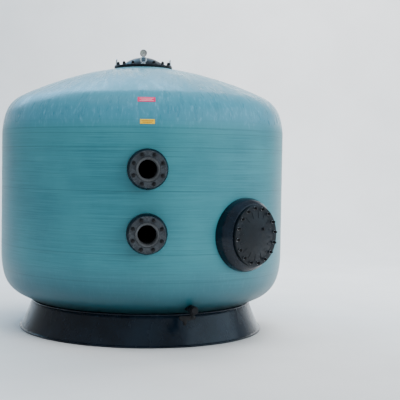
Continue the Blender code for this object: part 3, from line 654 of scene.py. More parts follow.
def hoop_relief(turn, height):
    """How far the hoop strands stand proud of the cylinder at this place."""
    around = Vector((cos(turn) * 0.9, sin(turn) * 0.9, height * 62))
    slow = Vector((cos(turn) * 0.5, sin(turn) * 0.5, height * 13))
    bands = sum(depth * exp(-(((height - z) / width) ** 2)) for z, width, depth in PROUD_HOOPS)
    return 0.00045 * noise.noise(around) + 0.0006 * noise.noise(slow) + bands


def hand_laid_waves(point):
    """Slow unevenness of the laminated ends."""
    return 0.0022 * noise.noise(point * 3.1) + 0.0009 * noise.noise(point * 8.3)


def build_vessel():
    lower, upper = mirrored_ends(0.0, *END_STEPS)
    lower_inside, upper_inside = mirrored_ends(WALL, 2, 8, 10)
    straight_low, straight_high = lower[-1][1], upper[0][1]
    rise = (straight_high - straight_low) / HOOP_ROWS
    rows = [(VESSEL_R, straight_low + rise * k) for k in range(1, HOOP_ROWS)]
    outline = [(0, lower[0][1])] + lower + rows + upper + upper_inside[::-1] + lower_inside[::-1]
    outline.append((0, lower_inside[0][1]))
    shape = turned(outline, FINE)
    even_r = POLE_R + 0.02
    for vertex in shape.verts:
        x, y, z = vertex.co
        radius = sqrt(x ** 2 + y ** 2)
        if radius < even_r or not on_outside(radius, z):
            continue
        ends = min(1.0, max(0.0, (abs(z - MIDDLE_Z) - HALF_STRAIGHT) / END_FADE))
        fade = min(1.0, (radius - even_r) / END_FADE)
        proud = hand_laid_waves(vertex.co) * ends * fade + hoop_relief(atan2(y, x), z) * (1 - ends)
        vertex.co += Vector((x, y, (z - MIDDLE_Z) * ends)).normalized() * proud
    vessel = add_mesh("vessel_look", shape, UPRIGHT, (FINISHES["wound_laminate"],))
    holes = [neck_hole(place, PORT_NECK_R, SMALL) for place in PORTS.values()]
    holes += [neck_hole(MANHOLE, MANHOLE_NECK_R, MEDIUM), neck_hole(DRAIN, SPIGOT_R, TINY, DRAIN_START)]
    carve(vessel, gather(*holes), at())
    stand_in(vessel, "vessel_shell")


def on_outside(radius, height):
    """Whether a vertex of the vessel belongs to the wall's outer face."""
    end_height = abs(height - MIDDLE_Z) - HALF_STRAIGHT
    if end_height <= 0:
        return radius > VESSEL_R - WALL / 2
    middle = level_at(MIDDLE_OF_WALL, radius)
    return middle is None or end_height > middle


def neck_hole(place, neck_r, steps, start=HOLE_START):
    """The hole that a neck passes through, only in the near wall."""
    return rod(neck_r + NECK_GAP, start, HOLE_END, steps), place


def build_skirt():
    """The conical foot, with a rolled lip on the floor and a bead at the vessel."""
    _, lip_r, floor_z, top_z = ring_of("base_skirt", UPRIGHT)
    foot_r, top_r, wall, roll_r, bow, uneven = lip_r - 0.020, 0.970, 0.012, 0.0085, 0.0035, 0.0012
    vessel_z = level_at(LOWER_END, top_r)
    cone_z, cone_rise, bead_z = floor_z + 0.0205, vessel_z - 0.0230 - floor_z, vessel_z - 0.0105
    outline = arc((lip_r - roll_r, floor_z + roll_r), roll_r, -pi / 2, pi / 2, 8)
    outline.append((foot_r + 0.003, floor_z + 0.0180))
    for share in (step / 12 for step in range(1, 12)):
        radius = foot_r + (top_r - foot_r) * share - bow * sin(pi * share)
        outline.append((radius, cone_z + cone_rise * share))
    outline.append((top_r + 0.001, bead_z - 0.006))
    outline += arc((top_r + 0.004, bead_z), 0.0075, -pi / 2, radians(55), 6)
    outline += [(top_r - wall, level_at(LOWER_END, top_r - wall) - 0.0006), (foot_r - wall, floor_z)]
    shape = turned(outline, FINE)
    for vertex in shape.verts:
        if 0.12 < (vertex.co.z - floor_z) / (top_z - floor_z) < 0.9:
            flat = Vector((vertex.co.x, vertex.co.y, 0))
            vertex.co += flat.normalized() * uneven * noise.noise(vertex.co * 3.0)
    look("base_skirt", shape, UPRIGHT)


# ---- bolts ----

# A washer's thickness, and how far it lies off the face
WASHER_T, WASHER_GAP = 0.002, 0.0002
THREAD_PITCH = 0.002
# A thread's depth and its blunt start, as shares of its radius
THREAD_DEPTH, THREAD_START = 0.09, 0.75
# How far a washer reaches, as a share of its cap's radius. Only the manhole's stand out beyond the caps
HIDDEN_WASHER, MANHOLE_WASHER = 1.08, 1.22
# A cap's side from its skirt up to its round top, as shares of its radius and its height
CAP_SIDE = ((1.14, 0.0), (1.14, 0.10), (1.0, 0.14), (0.97, 0.52))
CAP_TOP_R, CAP_TOP_Z = 0.95, 0.58


def threaded(radius, low, high, pitch):
    """A stud turned from its thread's crests and roots, from low up to high."""
    count = max(2, int((high - low) / (pitch / 2)))
    points = [(0, low), (radius * THREAD_START, low)]
    first = low + 0.001
    for k in range(count + 1):
        depth = THREAD_DEPTH * radius if k % 2 else 0.0
        points.append((radius - depth, first + (high - first) * k / count))
    return points + [(0, high)]


def capped_bolt(shank_r, shank_low, face, cap_r, tip, washer_share):
    """A washer, a bolt and the rounded plastic cap pressed over its head: (plastic, steel) bmeshes."""
    washer_top = face + WASHER_T
    height = tip - washer_top
    cap = [(0, washer_top)] + [(cap_r * x, washer_top + y * height) for x, y in CAP_SIDE]
    cap += [
        (cap_r * CAP_TOP_R * x if x > 1e-6 else 0, washer_top + height * (CAP_TOP_Z + (1 - CAP_TOP_Z) * y))
        for x, y in arc((0, 0), 1.0, radians(8), pi / 2, 8)
    ]
    steel = turned(threaded(shank_r, shank_low, face, THREAD_PITCH), 16)
    washer = soft_ring(shank_r, cap_r * washer_share, face + WASHER_GAP, washer_top + WASHER_GAP, 0.0005, TINY)
    return turned(cap, TINY), gather((steel, at()), (washer, at()))


def bolt_face(node, place):
    """Height of the face under a circle's washers, along the axis of place."""
    if node == "top_lid_bolts":
        return LID_FACE
    if node == "manhole_bolts":
        return ring_of("manhole_cover", place)[3] - COVER_BULGE
    return ring_of(node.replace("_bolts", "_flange"), place)[3]


def build_bolts(node, place, circle, count, first, shank_r, cap_r, skipped=()):
    """All the bolts of one circle, in one piece as in the CAD part."""
    _, _, shank_low, tip = ring_of(node, place)
    washer_share = MANHOLE_WASHER if node == "manhole_bolts" else HIDDEN_WASHER
    parts = []
    for spot in circle_places(circle, count, first, skipped):
        plastic, steel = capped_bolt(shank_r, shank_low, bolt_face(node, place), cap_r, tip, washer_share)
        parts += [(plastic, spot, 0), (steel, spot, 1)]
    look(node, gather(*parts), place, (FINISHES["stainless"],))


# ---- top opening and lid ----

def build_top_neck():
    """The laminated collar that the lid bolts down to, with its bolt holes."""
    bore, flange_r, low, high = ring_of("top_neck", UPRIGHT)
    collar_r, top = 0.256, high - 0.001
    outline = [
        (bore, low), (flange_r, low), (flange_r, low + 0.016), (collar_r, low + 0.028), (collar_r, top),
        (bore, top),
    ]
    hole_r, hole_low, hole_high = 0.009, low + 0.012, high + 0.01
    holes = [(rod(hole_r, hole_low, hole_high, 16), spot) for spot in circle_places(LID_CIRCLE, LID_BOLTS)]
    look_cut("top_neck", soft_turned(outline, 0.004, MEDIUM), UPRIGHT, (gather(*holes), UPRIGHT))
    look_ring("top_lid_seal", UPRIGHT, 0.0012, MEDIUM)


def dome_outline(base_r, base_z, rise, end_r, steps):
    """Points of a shallow dome from its rim in to end_r."""
    sphere_r = (base_r ** 2 + rise ** 2) / (2 * rise)
    centre_z = base_z + rise - sphere_r
    radii = [base_r + (end_r - base_r) * step / steps for step in range(steps + 1)]
    return [(radius, centre_z + sqrt(sphere_r ** 2 - radius ** 2)) for radius in radii]


def build_top_lid():
    """The lid: a flat bolting rim and a domed middle, open at the crown for the gauge's socket."""
    bore, rim_r, seat, crown = ring_of("top_lid", UPRIGHT)
    face, dome_r, shell = seat + LID_RIM, 0.195, 0.012
    inner_r, dome_z, hollow_z = dome_r - shell, face + 0.0015, seat + 0.008
    outside = dome_outline(dome_r, dome_z, crown - dome_z, bore, 30)
    inside = dome_outline(inner_r, hollow_z, crown - shell - hollow_z, bore, 20)
    rim = [(inner_r, seat), (rim_r, seat), (rim_r, face - 0.001), (rim_r - 0.018, face),
           (dome_r + 0.014, face), (dome_r + 0.006, face + 0.0005)]
    outline = softened(rim, 0.0035, closed=False)[1:] + outside + inside[::-1] + [(inner_r, seat)]
    look("top_lid", turned(outline, MEDIUM), UPRIGHT)
    build_bolts("top_lid_bolts", UPRIGHT, LID_CIRCLE, LID_BOLTS, -pi / 2, 0.008, 0.0135, (0, 4, 8, 12))
    for number in range(1, 5):
        build_lifting_eye(f"lifting_eye_{number}")


def build_lifting_eye(node):
    """A forged eye nut on its stud. The ring stands square to the lid's radius."""
    low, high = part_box(node)
    centre = (low + high) / 2
    from_axis = Vector((centre.x, centre.y, 0)) - AXIS
    place = at(centre.x, centre.y) @ Matrix.Rotation(atan2(from_axis.y, from_axis.x) + pi / 2, 4, "Z")
    wire_r, ring_r, stud_r, washer_r, collar_h = 0.0065, 0.0245, 0.008, 0.021, 0.014
    ring_z = high.z - ring_r - wire_r - 0.0004
    seat = LID_FACE + WASHER_T + 0.0006
    ring = turned(arc((ring_r, 0), wire_r, 0, tau, 16)[:-1], SMALL)
    collar = soft_turned([
        (0, seat), (0.0185, seat), (0.0180, seat + 0.005), (0.0125, seat + 0.0105), (0.0070, seat + collar_h),
        (0, seat + collar_h),
    ], 0.0015, 32)
    washer = soft_ring(stud_r, washer_r, seat - WASHER_T - 0.0004, seat - 0.0003, 0.0005, 32)
    stud = turned(threaded(stud_r, low.z, seat, THREAD_PITCH), 16)
    upright_ring = at(0, 0, ring_z) @ Matrix.Rotation(pi / 2, 4, "X")
    look(node, gather((ring, upright_ring), (collar, at()), (washer, at()), (stud, at())), place)


# ---- pressure gauge ----

# Where the dial's scale starts and how far it turns, and the shares of it between which the green arc lies
SCALE_START, SCALE_SWEEP = radians(225), radians(270)
DIVISIONS = 30
GREEN_FROM, GREEN_TO = 0.16, 0.46


def build_gauge():
    """The gauge faces -Y. Along its axis 0 is the pivot's height and + is forward."""
    _, case_r, back, front = ring_of("gauge_case", GAUGE)
    inner_r, floor = case_r - 0.0013, back + 0.0015
    profile = [(0, back), (case_r, back), (case_r, front), (inner_r, front), (inner_r, floor), (0, floor)]
    stem_hole = GAUGE @ at(0, 0, -(AXIS.y - GAUGE_PIVOT.y)) @ Matrix.Rotation(pi / 2, 4, "X")
    look_cut("gauge_case", soft_turned(profile, 0.0022, SMALL), GAUGE,
             (rod(0.0070, 0, 0.05, TINY), stem_hole))
    bore, bezel_r, low, high = ring_of("gauge_bezel", GAUGE)
    seat_r, lip = case_r + 0.0002, high - 0.0025
    profile = [(seat_r, low), (bezel_r, low), (bezel_r, high - 0.0022), (bezel_r - 0.0016, high),
               (bore + 0.0012, high), (bore, high - 0.0010), (bore, lip), (seat_r, lip)]
    dark_steel = brushed("bezel_steel", (0.10, 0.105, 0.11), (0.20, 0.205, 0.21), (0.22, 0.38))
    bezel = add_mesh("gauge_bezel_look", soft_turned(profile, 0.0007, SMALL), GAUGE, (dark_steel,))
    stand_in(bezel, "gauge_bezel")
    look_disc("gauge_lens", GAUGE, 0.0003, SMALL)
    build_dial()
    build_pointer()


def dial_mark(turn, inner, outer, half_width, level):
    """A printed line across the scale, as a (bmesh, matrix, material number) piece."""
    outline = [(inner, -half_width), (outer, -half_width), (outer, half_width), (inner, half_width)]
    return slab(outline, level, level + 0.00015), Matrix.Rotation(turn, 4, "Z"), 1


def build_dial():
    """The printed dial: a scale of long and short marks, and a coloured arc at its working range."""
    bore, dial_r, low, high = ring_of("gauge_dial", GAUGE)
    level = high - 0.0001
    parts = [(soft_ring(bore, dial_r, low, level, 0.0001, SMALL), at(), 0)]
    for k in range(DIVISIONS + 1):
        inner, half_width = (0.76, 0.00060) if k % 5 == 0 else (0.84, 0.00028)
        turn = SCALE_START - SCALE_SWEEP * k / DIVISIONS
        parts.append(dial_mark(turn, dial_r * inner, dial_r * 0.92, half_width, level))
    parts.append((soft_ring(dial_r * 0.955, dial_r, level, high + 0.00008, 0.00003, SMALL), at(), 1))
    ends = [SCALE_START - SCALE_SWEEP * share for share in (GREEN_FROM, GREEN_TO)]
    band = arc((0, 0), 0.72 * dial_r, *ends, 12) + arc((0, 0), 0.66 * dial_r, *reversed(ends), 12)
    parts.append((slab(band, level, high + 0.00005), at(), 2))
    green = printed_film("dial_green", (0.03, 0.30, 0.10), (0.06, 0.36, 0.15))
    look("gauge_dial", gather(*parts), GAUGE, (FINISHES["pointer_black"], green))


def build_pointer():
    """The pointer at rest, at the start of the scale."""
    _, _, low, high = ring_of("gauge_pointer", GAUGE)
    pin_r, hub_r, hub_z = 0.0012, 0.0030, high - 0.0018
    hub = soft_turned([(0, low), (pin_r, low), (pin_r, hub_z), (hub_r, hub_z), (hub_r, high), (0, high)],
                      0.0003, TINY)
    edge = [(-0.0070, -0.0016), (0.0, -0.0013), (0.0140, -0.0007), (0.0215, -0.00015)]
    blade = slab(edge + [(x, -y) for x, y in reversed(edge)], high - 0.0013, high - 0.0006)
    look("gauge_pointer", gather((hub, at()), (blade, Matrix.Rotation(SCALE_START, 4, "Z"))), GAUGE)


def build_gauge_socket():
    """The brass connection: a thread in the lid, a hexagon and a slim neck."""
    _, _, low, high = ring_of("gauge_socket", UPRIGHT)
    crown, neck_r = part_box("top_lid")[1].z, 0.0060
    thread = turned(threaded(0.0064, low, crown, 0.0016), TINY)
    nut = slab(hexagon(0.0185), crown + 0.0004, crown + 0.0062)
    neck = turned([(0, crown + 0.006), (0.0072, crown + 0.006), (neck_r, crown + 0.0085), (neck_r, high),
                   (0, high)], TINY)
    look("gauge_socket", gather((thread, at()), (nut, at()), (neck, at())), UPRIGHT)


# ---- ports ----

def build_pad(node, place, bore, neck_r, outline, neck_low, neck_top, steps):
    """A moulded pad that follows the wall, with the neck that passes through it."""
    pad = add_mesh(f"{node}_look", turned(outline, steps), place, (FINISHES[SLOT_OF[node]],))
    carve(pad, rod(VESSEL_R, -0.5, 0.5, FINE), at(AXIS.x, AXIS.y, place.translation.z))
    outside = bmesh.new()
    outside.from_mesh(pad.data)
    neck = soft_ring(bore, neck_r, neck_low, neck_top, 0.002, steps)
    whole = gather((outside, at()), (neck, at()))
    whole.to_mesh(pad.data)
    whole.free()
    pad.data.shade_smooth()
    pad.data.set_sharp_from_angle(angle=radians(30))
    stand_in(pad, node)


def build_port(name, place):
    """A pipe connection: its pad, gasket, stub, flange and bolts."""
    bore, pad_r, neck_low, seat = ring_of(f"{name}_nozzle", place)
    flange_r = ring_of(f"{name}_flange", place)[1]
    inner_r, pad_low = bore + 0.0075, 1.215
    outline = softened([
        (inner_r, pad_low), (pad_r, pad_low), (pad_r - 0.004, 1.2885), (flange_r + 0.004, 1.3080),
        (flange_r - 0.001, seat), (inner_r, seat),
    ], 0.006, 4)
    build_pad(f"{name}_nozzle", place, bore, PORT_NECK_R, outline, neck_low, seat - 0.0005, MEDIUM)
    look_ring(f"{name}_gasket", place, 0.0008, MEDIUM)

    stop_r, shoulder_r, low, tip = ring_of(f"{name}_stub", place)
    stub_r, socket_r, shoulder_high, groove = 0.092, 0.080, low + 0.016, tip - 0.0012
    look(f"{name}_stub", soft_turned([
        (stop_r, low), (shoulder_r, low), (shoulder_r, shoulder_high), (stub_r, shoulder_high), (stub_r, tip),
        (0.0885, tip), (0.0880, groove), (0.0868, groove), (0.0863, tip), (socket_r + 0.002, tip),
        (socket_r, tip - 0.003), (socket_r, shoulder_high), (stop_r, shoulder_high),
    ], 0.0009, MEDIUM), place)

    bore, flange_r, back, face = ring_of(f"{name}_flange", place)
    chamfer, sunk = 0.0035, face - 0.0012
    look(f"{name}_flange", soft_turned([
        (bore, back), (flange_r, back), (flange_r, face - chamfer), (flange_r - chamfer, face),
        (0.1365, face), (0.1358, sunk), (0.1040, sunk), (0.1032, face), (bore + 0.001, face),
        (bore, face - 0.001),
    ], 0.0012, MEDIUM), place)
    build_bolts(f"{name}_bolts", place, PORT_CIRCLE, PORT_BOLTS, -pi / 2 + pi / 8, 0.010, 0.0135)


# ---- side manhole ----

def build_manhole():
    bore, pad_r, neck_low, seat = ring_of("manhole_neck", MANHOLE)
    inner_r, pad_low, top = bore + 0.008, 1.150, seat - 0.001
    outline = softened([
        (inner_r, pad_low), (pad_r, pad_low), (pad_r - 0.006, 1.2875), (0.282, 1.3210), (0.252, top),
        (inner_r, top),
    ], 0.012, 5)
    build_pad("manhole_neck", MANHOLE, bore, MANHOLE_NECK_R, outline, neck_low, seat - 0.0005, 128)
    look_ring("manhole_seal", MANHOLE, 0.0012, MEDIUM)
    build_manhole_cover()
    build_bolts("manhole_bolts", MANHOLE_TURNED, MANHOLE_CIRCLE, MANHOLE_BOLTS, -pi / 2, 0.006, 0.0105)


def build_manhole_cover():
    """The cover: a flat bolting rim, a shallow bulge, short ribs between the bolts and a plug."""
    _, cover_r, seat, crown = ring_of("manhole_cover", MANHOLE)
    face, bulge_r, hollow_r = crown - COVER_BULGE, 0.196, 0.190
    outside = dome_outline(bulge_r, face, COVER_BULGE, 0.0, 24)
    inside = dome_outline(hollow_r, seat, COVER_BULGE, 0.0, 16)
    rim = [(hollow_r, seat), (cover_r, seat), (cover_r, face), (0.200, face), (bulge_r, face)]
    outline = outside[::-1] + softened(rim, 0.0035, closed=False)[::-1] + inside[1:]
    parts = [(turned(outline, MEDIUM), at(), 0)]
    length, width, high, drop = 0.026, 0.0024, face + 0.0108, 0.0080
    for spot in circle_places(0.170, MANHOLE_BOLTS, -pi / 2 + pi / MANHOLE_BOLTS + MANHOLE_TURN):
        rib = slab([(-width, -length), (width, -length), (width * 1.3, length), (-width * 1.3, length)],
                   face - 0.004, high)
        for vertex in rib.verts:
            if vertex.co.z > face and vertex.co.y < 0:
                vertex.co.z -= drop
        parts.append((rib, spot, 0))
    look("manhole_cover", gather(*parts), MANHOLE)
    low, high = span("manhole_plug", MANHOLE)
    middle = (low + high) / 2
    head_r = (high.x - low.x) / 2
    thread_r, collar_r, collar_low, collar_high = 0.0062, head_r + 0.002, high.z - 0.007, high.z - 0.0055
    body = turned([(0, low.z), (thread_r, low.z), (thread_r, collar_low), (collar_r, collar_low),
                   (collar_r, collar_high), (0, collar_high)], TINY)
    head = slab(hexagon(2 * head_r * 0.92), high.z - 0.006, high.z)
    look("manhole_plug", gather((body, at()), (head, at())), MANHOLE @ at(middle.x, middle.y))


# ---- drain valve ----

# Radius of the holes that the stem passes through
STEM_HOLE_R = 0.0056


def grip_ribs(radius, low, high, count, size):
    """Upright ribs round a turned piece, narrower on the outside, as (bmesh, matrix) pieces."""
    outline = [(-size, -size), (size, -size), (size * 0.6, size), (-size * 0.6, size)]
    half_turn = Matrix.Rotation(pi, 4, "Z")
    return [(slab(outline, low, high), spot @ half_turn) for spot in circle_places(radius, count)]


def build_drain():
    """The drain: a spigot in the wall and a ball valve with a lever, closed by a cap."""
    look_ring("drain_spigot", DRAIN, 0.0008, SMALL)

    socket, shoulder, tip = DRAIN_BALL - 0.030, DRAIN_BALL + 0.026, DRAIN_BALL + 0.042
    chamber_low, chamber_high = DRAIN_BALL - 0.016, DRAIN_BALL + 0.016
    rim_r, waist_r, tail_r, socket_r, chamber_r, throat_r = 0.0335, 0.0300, 0.0240, 0.0256, 0.0171, 0.0115
    seat = socket + 0.0133
    profile = [
        (socket_r, socket), (rim_r, socket), (rim_r, socket + 0.011), (waist_r, socket + 0.013),
        (waist_r, shoulder - 0.013), (rim_r, shoulder - 0.011), (rim_r, shoulder), (tail_r, shoulder),
        (tail_r, tip), (throat_r, tip), (throat_r, chamber_high), (chamber_r, chamber_high),
        (chamber_r, chamber_low), (throat_r, chamber_low), (throat_r, seat), (socket_r, seat),
    ]
    bonnet = [(0, 0.022), (0.0150, 0.022), (0.0150, 0.0345), (0.0130, 0.0360), (0, 0.0360)]
    look_cut("drain_valve_body", soft_turned(profile, 0.0012, SMALL), DRAIN,
             (soft_turned(bonnet, 0.001, SMALL), STEM, "UNION"), (rod(STEM_HOLE_R, 0.010, 0.05, TINY), STEM))

    ball_r = 0.0165
    meridian = [(ball_r * sin(pi * k / 16), -ball_r * cos(pi * k / 16)) for k in range(17)]
    water_way = rod(0.0105, -0.03, 0.03, TINY), STEM @ Matrix.Rotation(pi / 2, 4, "Y")
    look_cut("drain_ball", turned(meridian, 32), STEM, water_way)
    look_disc("drain_stem", STEM, 0.0008, TINY)
    build_drain_handle()
    build_drain_cap()


def build_drain_handle():
    """The lever: a blade with a turned-down grip, on a round hub over the stem."""
    half = 0.0090
    outline = [
        (0.024, 0.050), (0.027, 0.068), (0.016, 0.080), (0.010, 0.074), (-0.050, 0.088), (-0.056, 0.122),
        (-0.072, 0.122), (-0.076, 0.091), (-0.104, 0.077), (-0.121, 0.057), (-0.112, 0.044), (0, 0.045),
    ]
    blade = slab(softened(outline, 0.006), -half, half)
    edges = [edge for edge in blade.edges if abs(edge.verts[0].co.z - edge.verts[1].co.z) < 1e-6]
    bmesh.ops.bevel(blade, geom=edges, offset=0.0022, segments=2, affect="EDGES", profile=0.6)
    standing = Matrix.Rotation(pi / 2, 4, "X")
    hub_low, hub_high, hub_r = 0.0368, 0.0660, 0.0165
    hub = soft_turned([(STEM_HOLE_R, hub_low), (hub_r, hub_low), (hub_r, hub_high - 0.002),
                       (hub_r - 0.002, hub_high), (STEM_HOLE_R, hub_high)], 0.0012, SMALL)
    nut = slab(hexagon(0.013), 0.0560, 0.0640)
    look("drain_handle", gather((blade, standing, 0), (hub, at(), 0), (nut, at(), 1)), STEM,
         (FINISHES["stainless"],))


def build_drain_cap():
    _, cap_r, rim, end = ring_of("drain_cap", DRAIN)
    inner, outer, floor = 0.0252, cap_r - 0.0015, end - 0.0077
    body = soft_turned([(0, end), (cap_r - 0.004, end), (outer, end - 0.003), (outer, rim), (inner, rim),
                        (inner, floor), (0, floor)], 0.0012, SMALL)
    ribs = grip_ribs(cap_r - 0.0012, rim + 0.001, end - 0.0035, 18, 0.0014)
    look("drain_cap", gather((body, at()), *ribs), DRAIN)


# ---- pipework inside ----

def build_pipes():
    for name, place in PORTS.items():
        look_ring(f"{name}_pipe", place, 0.0015, SMALL)
        build_elbow(name, place)
        look_ring(f"{name}_riser", UPRIGHT, 0.0015, SMALL)


def build_elbow(name, place):
    """The right angle from the port's pipe to the upright one, with a collar at each mouth."""
    bend_r, mouth, collar_low, steps = 0.140, 0.200, 0.155, 16
    direction = 1 if name == "inlet" else -1
    path = [Vector((0, 0, mouth))]
    for turn in (pi / 2 * step / steps for step in range(steps + 1)):
        path.append(Vector((0, direction * bend_r * (1 - cos(turn)), bend_r * (1 - sin(turn)))))
    path.append(Vector((0, direction * mouth, 0)))
    tube = swept(path, PIPE_SOCKET_R - 0.003, PIPE_BORE, SMALL, Vector((1, 0, 0)))
    collars = [
        (soft_ring(PIPE_BORE, PIPE_SOCKET_R, collar_low, mouth, 0.002, SMALL), toward)
        for toward in (at(), Matrix.Rotation(-direction * pi / 2, 4, "X"))
    ]
    look(f"{name}_elbow", gather((tube, at()), *collars), place)


def build_diffuser_and_collector():
    """The flared diffuser over the sand, and the hub under it that the laterals reach into."""
    bore, mouth_r, low, top = ring_of("inlet_diffuser", UPRIGHT)
    outer, neck_z, thick, lift = PIPE_SOCKET_R, low + 0.050, 0.007, 0.005
    flare = [(outer + (mouth_r - outer) * share ** 1.6, neck_z + (top - lift - neck_z) * share)
             for share in (k / 8 for k in range(1, 9))]
    inside = [(radius - thick, height + lift) for radius, height in flare]
    outline = [(bore, low), (outer, low), (outer, neck_z)] + flare + inside[::-1] + [(bore, low + 0.056)]
    look("inlet_diffuser", soft_turned(outline, 0.0015, SMALL), UPRIGHT)

    _, hub_r, low, high = ring_of("collector_hub", UPRIGHT)
    waist_r, collar_r, floor = hub_r - 0.012, hub_r - 0.006, low + 0.012
    hub = soft_turned([
        (0, low), (hub_r, low), (hub_r, low + 0.115), (waist_r, low + 0.130), (waist_r, high - 0.030),
        (collar_r, high - 0.026), (collar_r, high), (PIPE_BORE, high), (PIPE_BORE, floor), (0, floor),
    ], 0.002, MEDIUM)
    holes = [(rod(0.0256, 0.075, 0.130, TINY), lateral_place(number)) for number in LATERALS]
    look_cut("collector_hub", hub, UPRIGHT, (gather(*holes), at()))
    for number in LATERALS:
        build_lateral(number)


def lateral_place(number):
    """Axes at the hub's centre with Z along this lateral."""
    low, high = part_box(f"lateral_{number}")
    centre = (low + high) / 2
    flat = Vector((centre.x, centre.y, 0)) - AXIS
    turn = atan2(flat.y, flat.x)
    return at(AXIS.x, AXIS.y, centre.z) @ Matrix.Rotation(turn, 4, "Z") @ Matrix.Rotation(pi / 2, 4, "Y")


def build_lateral(number):
    """A grooved arm with a closed rounded end."""
    place = lateral_place(number)
    _, outer, start, end = ring_of(f"lateral_{number}", place)
    outer, grooves = min(outer, LATERAL_R), 42
    bore, root = outer - 0.004, outer - 0.0012
    first, pitch = start + 0.060, (end - start - 0.100) / grooves
    outline = [(0, end - 0.004), (bore, end - 0.006), (bore, start), (outer, start)]
    for groove in (first + k * pitch for k in range(grooves)):
        outline += [(outer, groove), (root, groove + 0.0005), (root, groove + 0.0020),
                    (outer, groove + 0.0025)]
    outline += [(outer, end - 0.008), (outer - 0.003, end - 0.002), (outer - 0.008, end), (0, end)]
    look(f"lateral_{number}", turned(outline, TINY), place)


# ---- labels ----

def wall_point(height):
    """Radius and outward slope of the vessel's outer face at this height, from the cylinder up."""
    for (r_low, z_low), (r_high, z_high) in zip(UPPER_END, UPPER_END[1:]):
        if z_low <= height <= z_high:
            share = (height - z_low) / (z_high - z_low)
            return r_low + (r_high - r_low) * share, atan2(r_low - r_high, z_high - z_low)
    return VESSEL_R, 0.0


def label_patch(height, width, tall, proud, turn, across, up=0.0):
    """A thin printed patch that follows the vessel's double curve round a height and a turn from -Y."""
    columns, rows, thickness = 16, 6, 0.0004
    shape = bmesh.new()

    def corner(level, row, column):
        z = height + up + tall * (row / rows - 0.5)
        radius, slope = wall_point(z)
        angle = turn + (across + width * (column / columns - 0.5)) / radius
        out = radius + level * cos(slope)
        return shape.verts.new((out * sin(angle), -out * cos(angle), z + level * sin(slope)))

    back, front = (
        [[corner(level, row, column) for column in range(columns + 1)] for row in range(rows + 1)]
        for level in (proud, proud + thickness)
    )
    bands = [band for grid in (back, front) for band in zip(grid, grid[1:])]
    bands += [(back[0], front[0]), (back[-1], front[-1])]
    bands += [([line[column] for line in back], [line[column] for line in front]) for column in (0, columns)]
    for near, far in bands:
        for k in range(len(near) - 1):
            shape.faces.new((near[k], near[k + 1], far[k + 1], far[k]))
    bmesh.ops.recalc_face_normals(shape, faces=shape.faces)
    return shape


def build_label(name, height, width, tall, across, ground, ink, lines):
    """A plain label: a coloured sheet with a few printed bars on it, without lettering."""
    port_out = Vector(MOUNTS["inlet_face"]["axis"])
    turn = atan2(port_out.x, -port_out.y)
    parts = [(label_patch(height, width, tall, 0.0016, turn, across), at(), 0)]
    for line in range(lines):
        up = tall * (0.5 - (line + 1) / (lines + 1))
        length = width * (0.62 if line % 2 else 0.80)
        parts.append((label_patch(height, length, tall * 0.10, 0.0020, turn, across, up), at(), 1))
    label = add_mesh(name, gather(*parts), UPRIGHT, (ground, ink))
    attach(label, BODY_OF["vessel_shell"])


def build_labels():
    pink = printed_film("label_pink", (0.62, 0.006, 0.100), (0.70, 0.02, 0.14))
    pale_pink = printed_film("label_pale_pink", (0.80, 0.34, 0.42), (0.86, 0.44, 0.50))
    yellow = printed_film("label_yellow", (0.80, 0.46, 0.010), (0.86, 0.55, 0.03))
    brown = printed_film("label_brown", (0.40, 0.09, 0.008), (0.48, 0.14, 0.02))
    build_label("upper_label", 1.959, 0.138, 0.037, -0.013, pink, pale_pink, 3)
    build_label("lower_label", 1.787, 0.114, 0.036, -0.006, yellow, brown, 2)


# ---- surroundings, light and camera ----

def build_stage():
    """A pale floor that curves up into a backdrop."""
    finish = mottled("studio_floor", 1.2, (0.80, 0.80, 0.80), (0.84, 0.84, 0.84), roughness=0.75)
    floor_z, bend_y, bend_r, half_width, top = -0.0005, 6.0, 3.0, 40.0, 14.0
    bend = arc((bend_y, floor_z + bend_r), bend_r, -pi / 2, 0.0, 12)
    profile = [(-half_width, floor_z)] + bend + [(bend_y + bend_r, top)]
    shape = bmesh.new()
    rows = [[shape.verts.new((x, y, z)) for x in (-half_width, half_width)] for y, z in profile]
    for near, far in zip(rows, rows[1:]):
        shape.faces.new((near[0], near[1], far[1], far[0]))
    floor = add_mesh("studio_floor", shape, Matrix.Identity(4), (finish,))


def add_light(name, place, target, size, power, colour, mirrored=True):
    """A rectangular lamp at place that shines at target. One that isn't mirrored shows in no gloss."""
    data = bpy.data.lights.new(name, "AREA")
    data.shape = "RECTANGLE"
    data.size, data.size_y = size
    data.energy = power
    data.color = colour
    light = bpy.data.objects.new(name, data)
    bpy.context.scene.collection.objects.link(light)
    light.location = place
    light.visible_glossy = mirrored
    light.rotation_mode = "QUATERNION"
    light.rotation_quaternion = (Vector(target) - Vector(place)).to_track_quat("-Z", "Y")


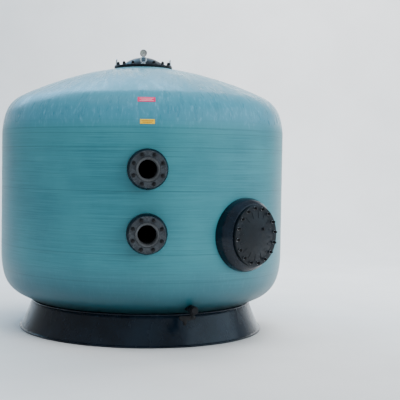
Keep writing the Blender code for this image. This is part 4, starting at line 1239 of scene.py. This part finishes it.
def build_light():
    world = bpy.data.worlds.new("studio_air")
    bpy.context.scene.world = world
    world.use_nodes = True
    background = world.node_tree.nodes["Background"]
    background.inputs["Color"].default_value = (0.86, 0.93, 1.0, 1.0)
    background.inputs["Strength"].default_value = 0.50

    def on_axis(height):
        return 0, AXIS.y, height

    for light in (
        ("sky_behind", (-3.0, 8.8, 8.8), on_axis(2.2), (13.0, 7.5), 1450, (0.30, 0.66, 1.0)),
        ("overhead", (-1.0, -2.5, 7.5), on_axis(1.0), (6.0, 4.0), 380, (0.92, 0.96, 1.0), False),
        ("front_right", (6.5, -6.6, 4.3), on_axis(MIDDLE_Z), (5.0, 5.0), 430, (1.0, 0.99, 0.96), False),
        ("right_sky", (10.0, -2.0, 4.6), on_axis(0.6), (11.0, 7.0), 330, (0.62, 0.84, 1.0)),
        ("floor_wash", (3.5, 3.0, 7.0), (1.5, 7.5, 1.2), (6.0, 5.0), 900, (1.0, 1.0, 1.0), False),
    ):
        add_light(*light)


# How far the camera stands before the tank's centre line and over the floor, and how it is turned
CAMERA_BACK, CAMERA_UP = 8.3175, 1.485
CAMERA_DOWN, CAMERA_YAW, CAMERA_ROLL = radians(2.432), radians(-0.033), radians(0.755)
LENS, SENSOR, SHIFT_X = 82.9, 36.0, 0.1475


def build_camera():
    data = bpy.data.cameras.new("camera")
    data.lens, data.sensor_width, data.shift_x = LENS, SENSOR, SHIFT_X
    camera = bpy.data.objects.new("camera", data)
    bpy.context.scene.collection.objects.link(camera)
    level = Vector((sin(CAMERA_YAW), cos(CAMERA_YAW), 0)) * cos(CAMERA_DOWN)
    forward = level - Vector((0, 0, sin(CAMERA_DOWN)))
    level_right = Vector((cos(CAMERA_YAW), -sin(CAMERA_YAW), 0))
    level_up = level_right.cross(forward)
    right = cos(CAMERA_ROLL) * level_right + sin(CAMERA_ROLL) * level_up
    up = -sin(CAMERA_ROLL) * level_right + cos(CAMERA_ROLL) * level_up
    turn = Matrix((right, up, -forward)).transposed().to_4x4()
    camera.matrix_world = Matrix.Translation((AXIS.x, AXIS.y - CAMERA_BACK, CAMERA_UP)) @ turn
    bpy.context.scene.camera = camera


def finish_remaining_nodes():
    """CAD nodes left showing, such as the hidden bourdon tube, get the procedural finish of their slot."""
    for node, piece in frame["nodes"].items():
        if not piece.hide_render:
            piece.data.materials.clear()
            piece.data.materials.append(FINISHES[SLOT_OF[node]])


build_vessel()
build_skirt()
build_top_neck()
build_top_lid()
build_gauge()
build_gauge_socket()
for port_name, port_place in PORTS.items():
    build_port(port_name, port_place)
build_manhole()
build_drain()
build_pipes()
build_diffuser_and_collector()
build_labels()
finish_remaining_nodes()
build_stage()
build_light()
build_camera()
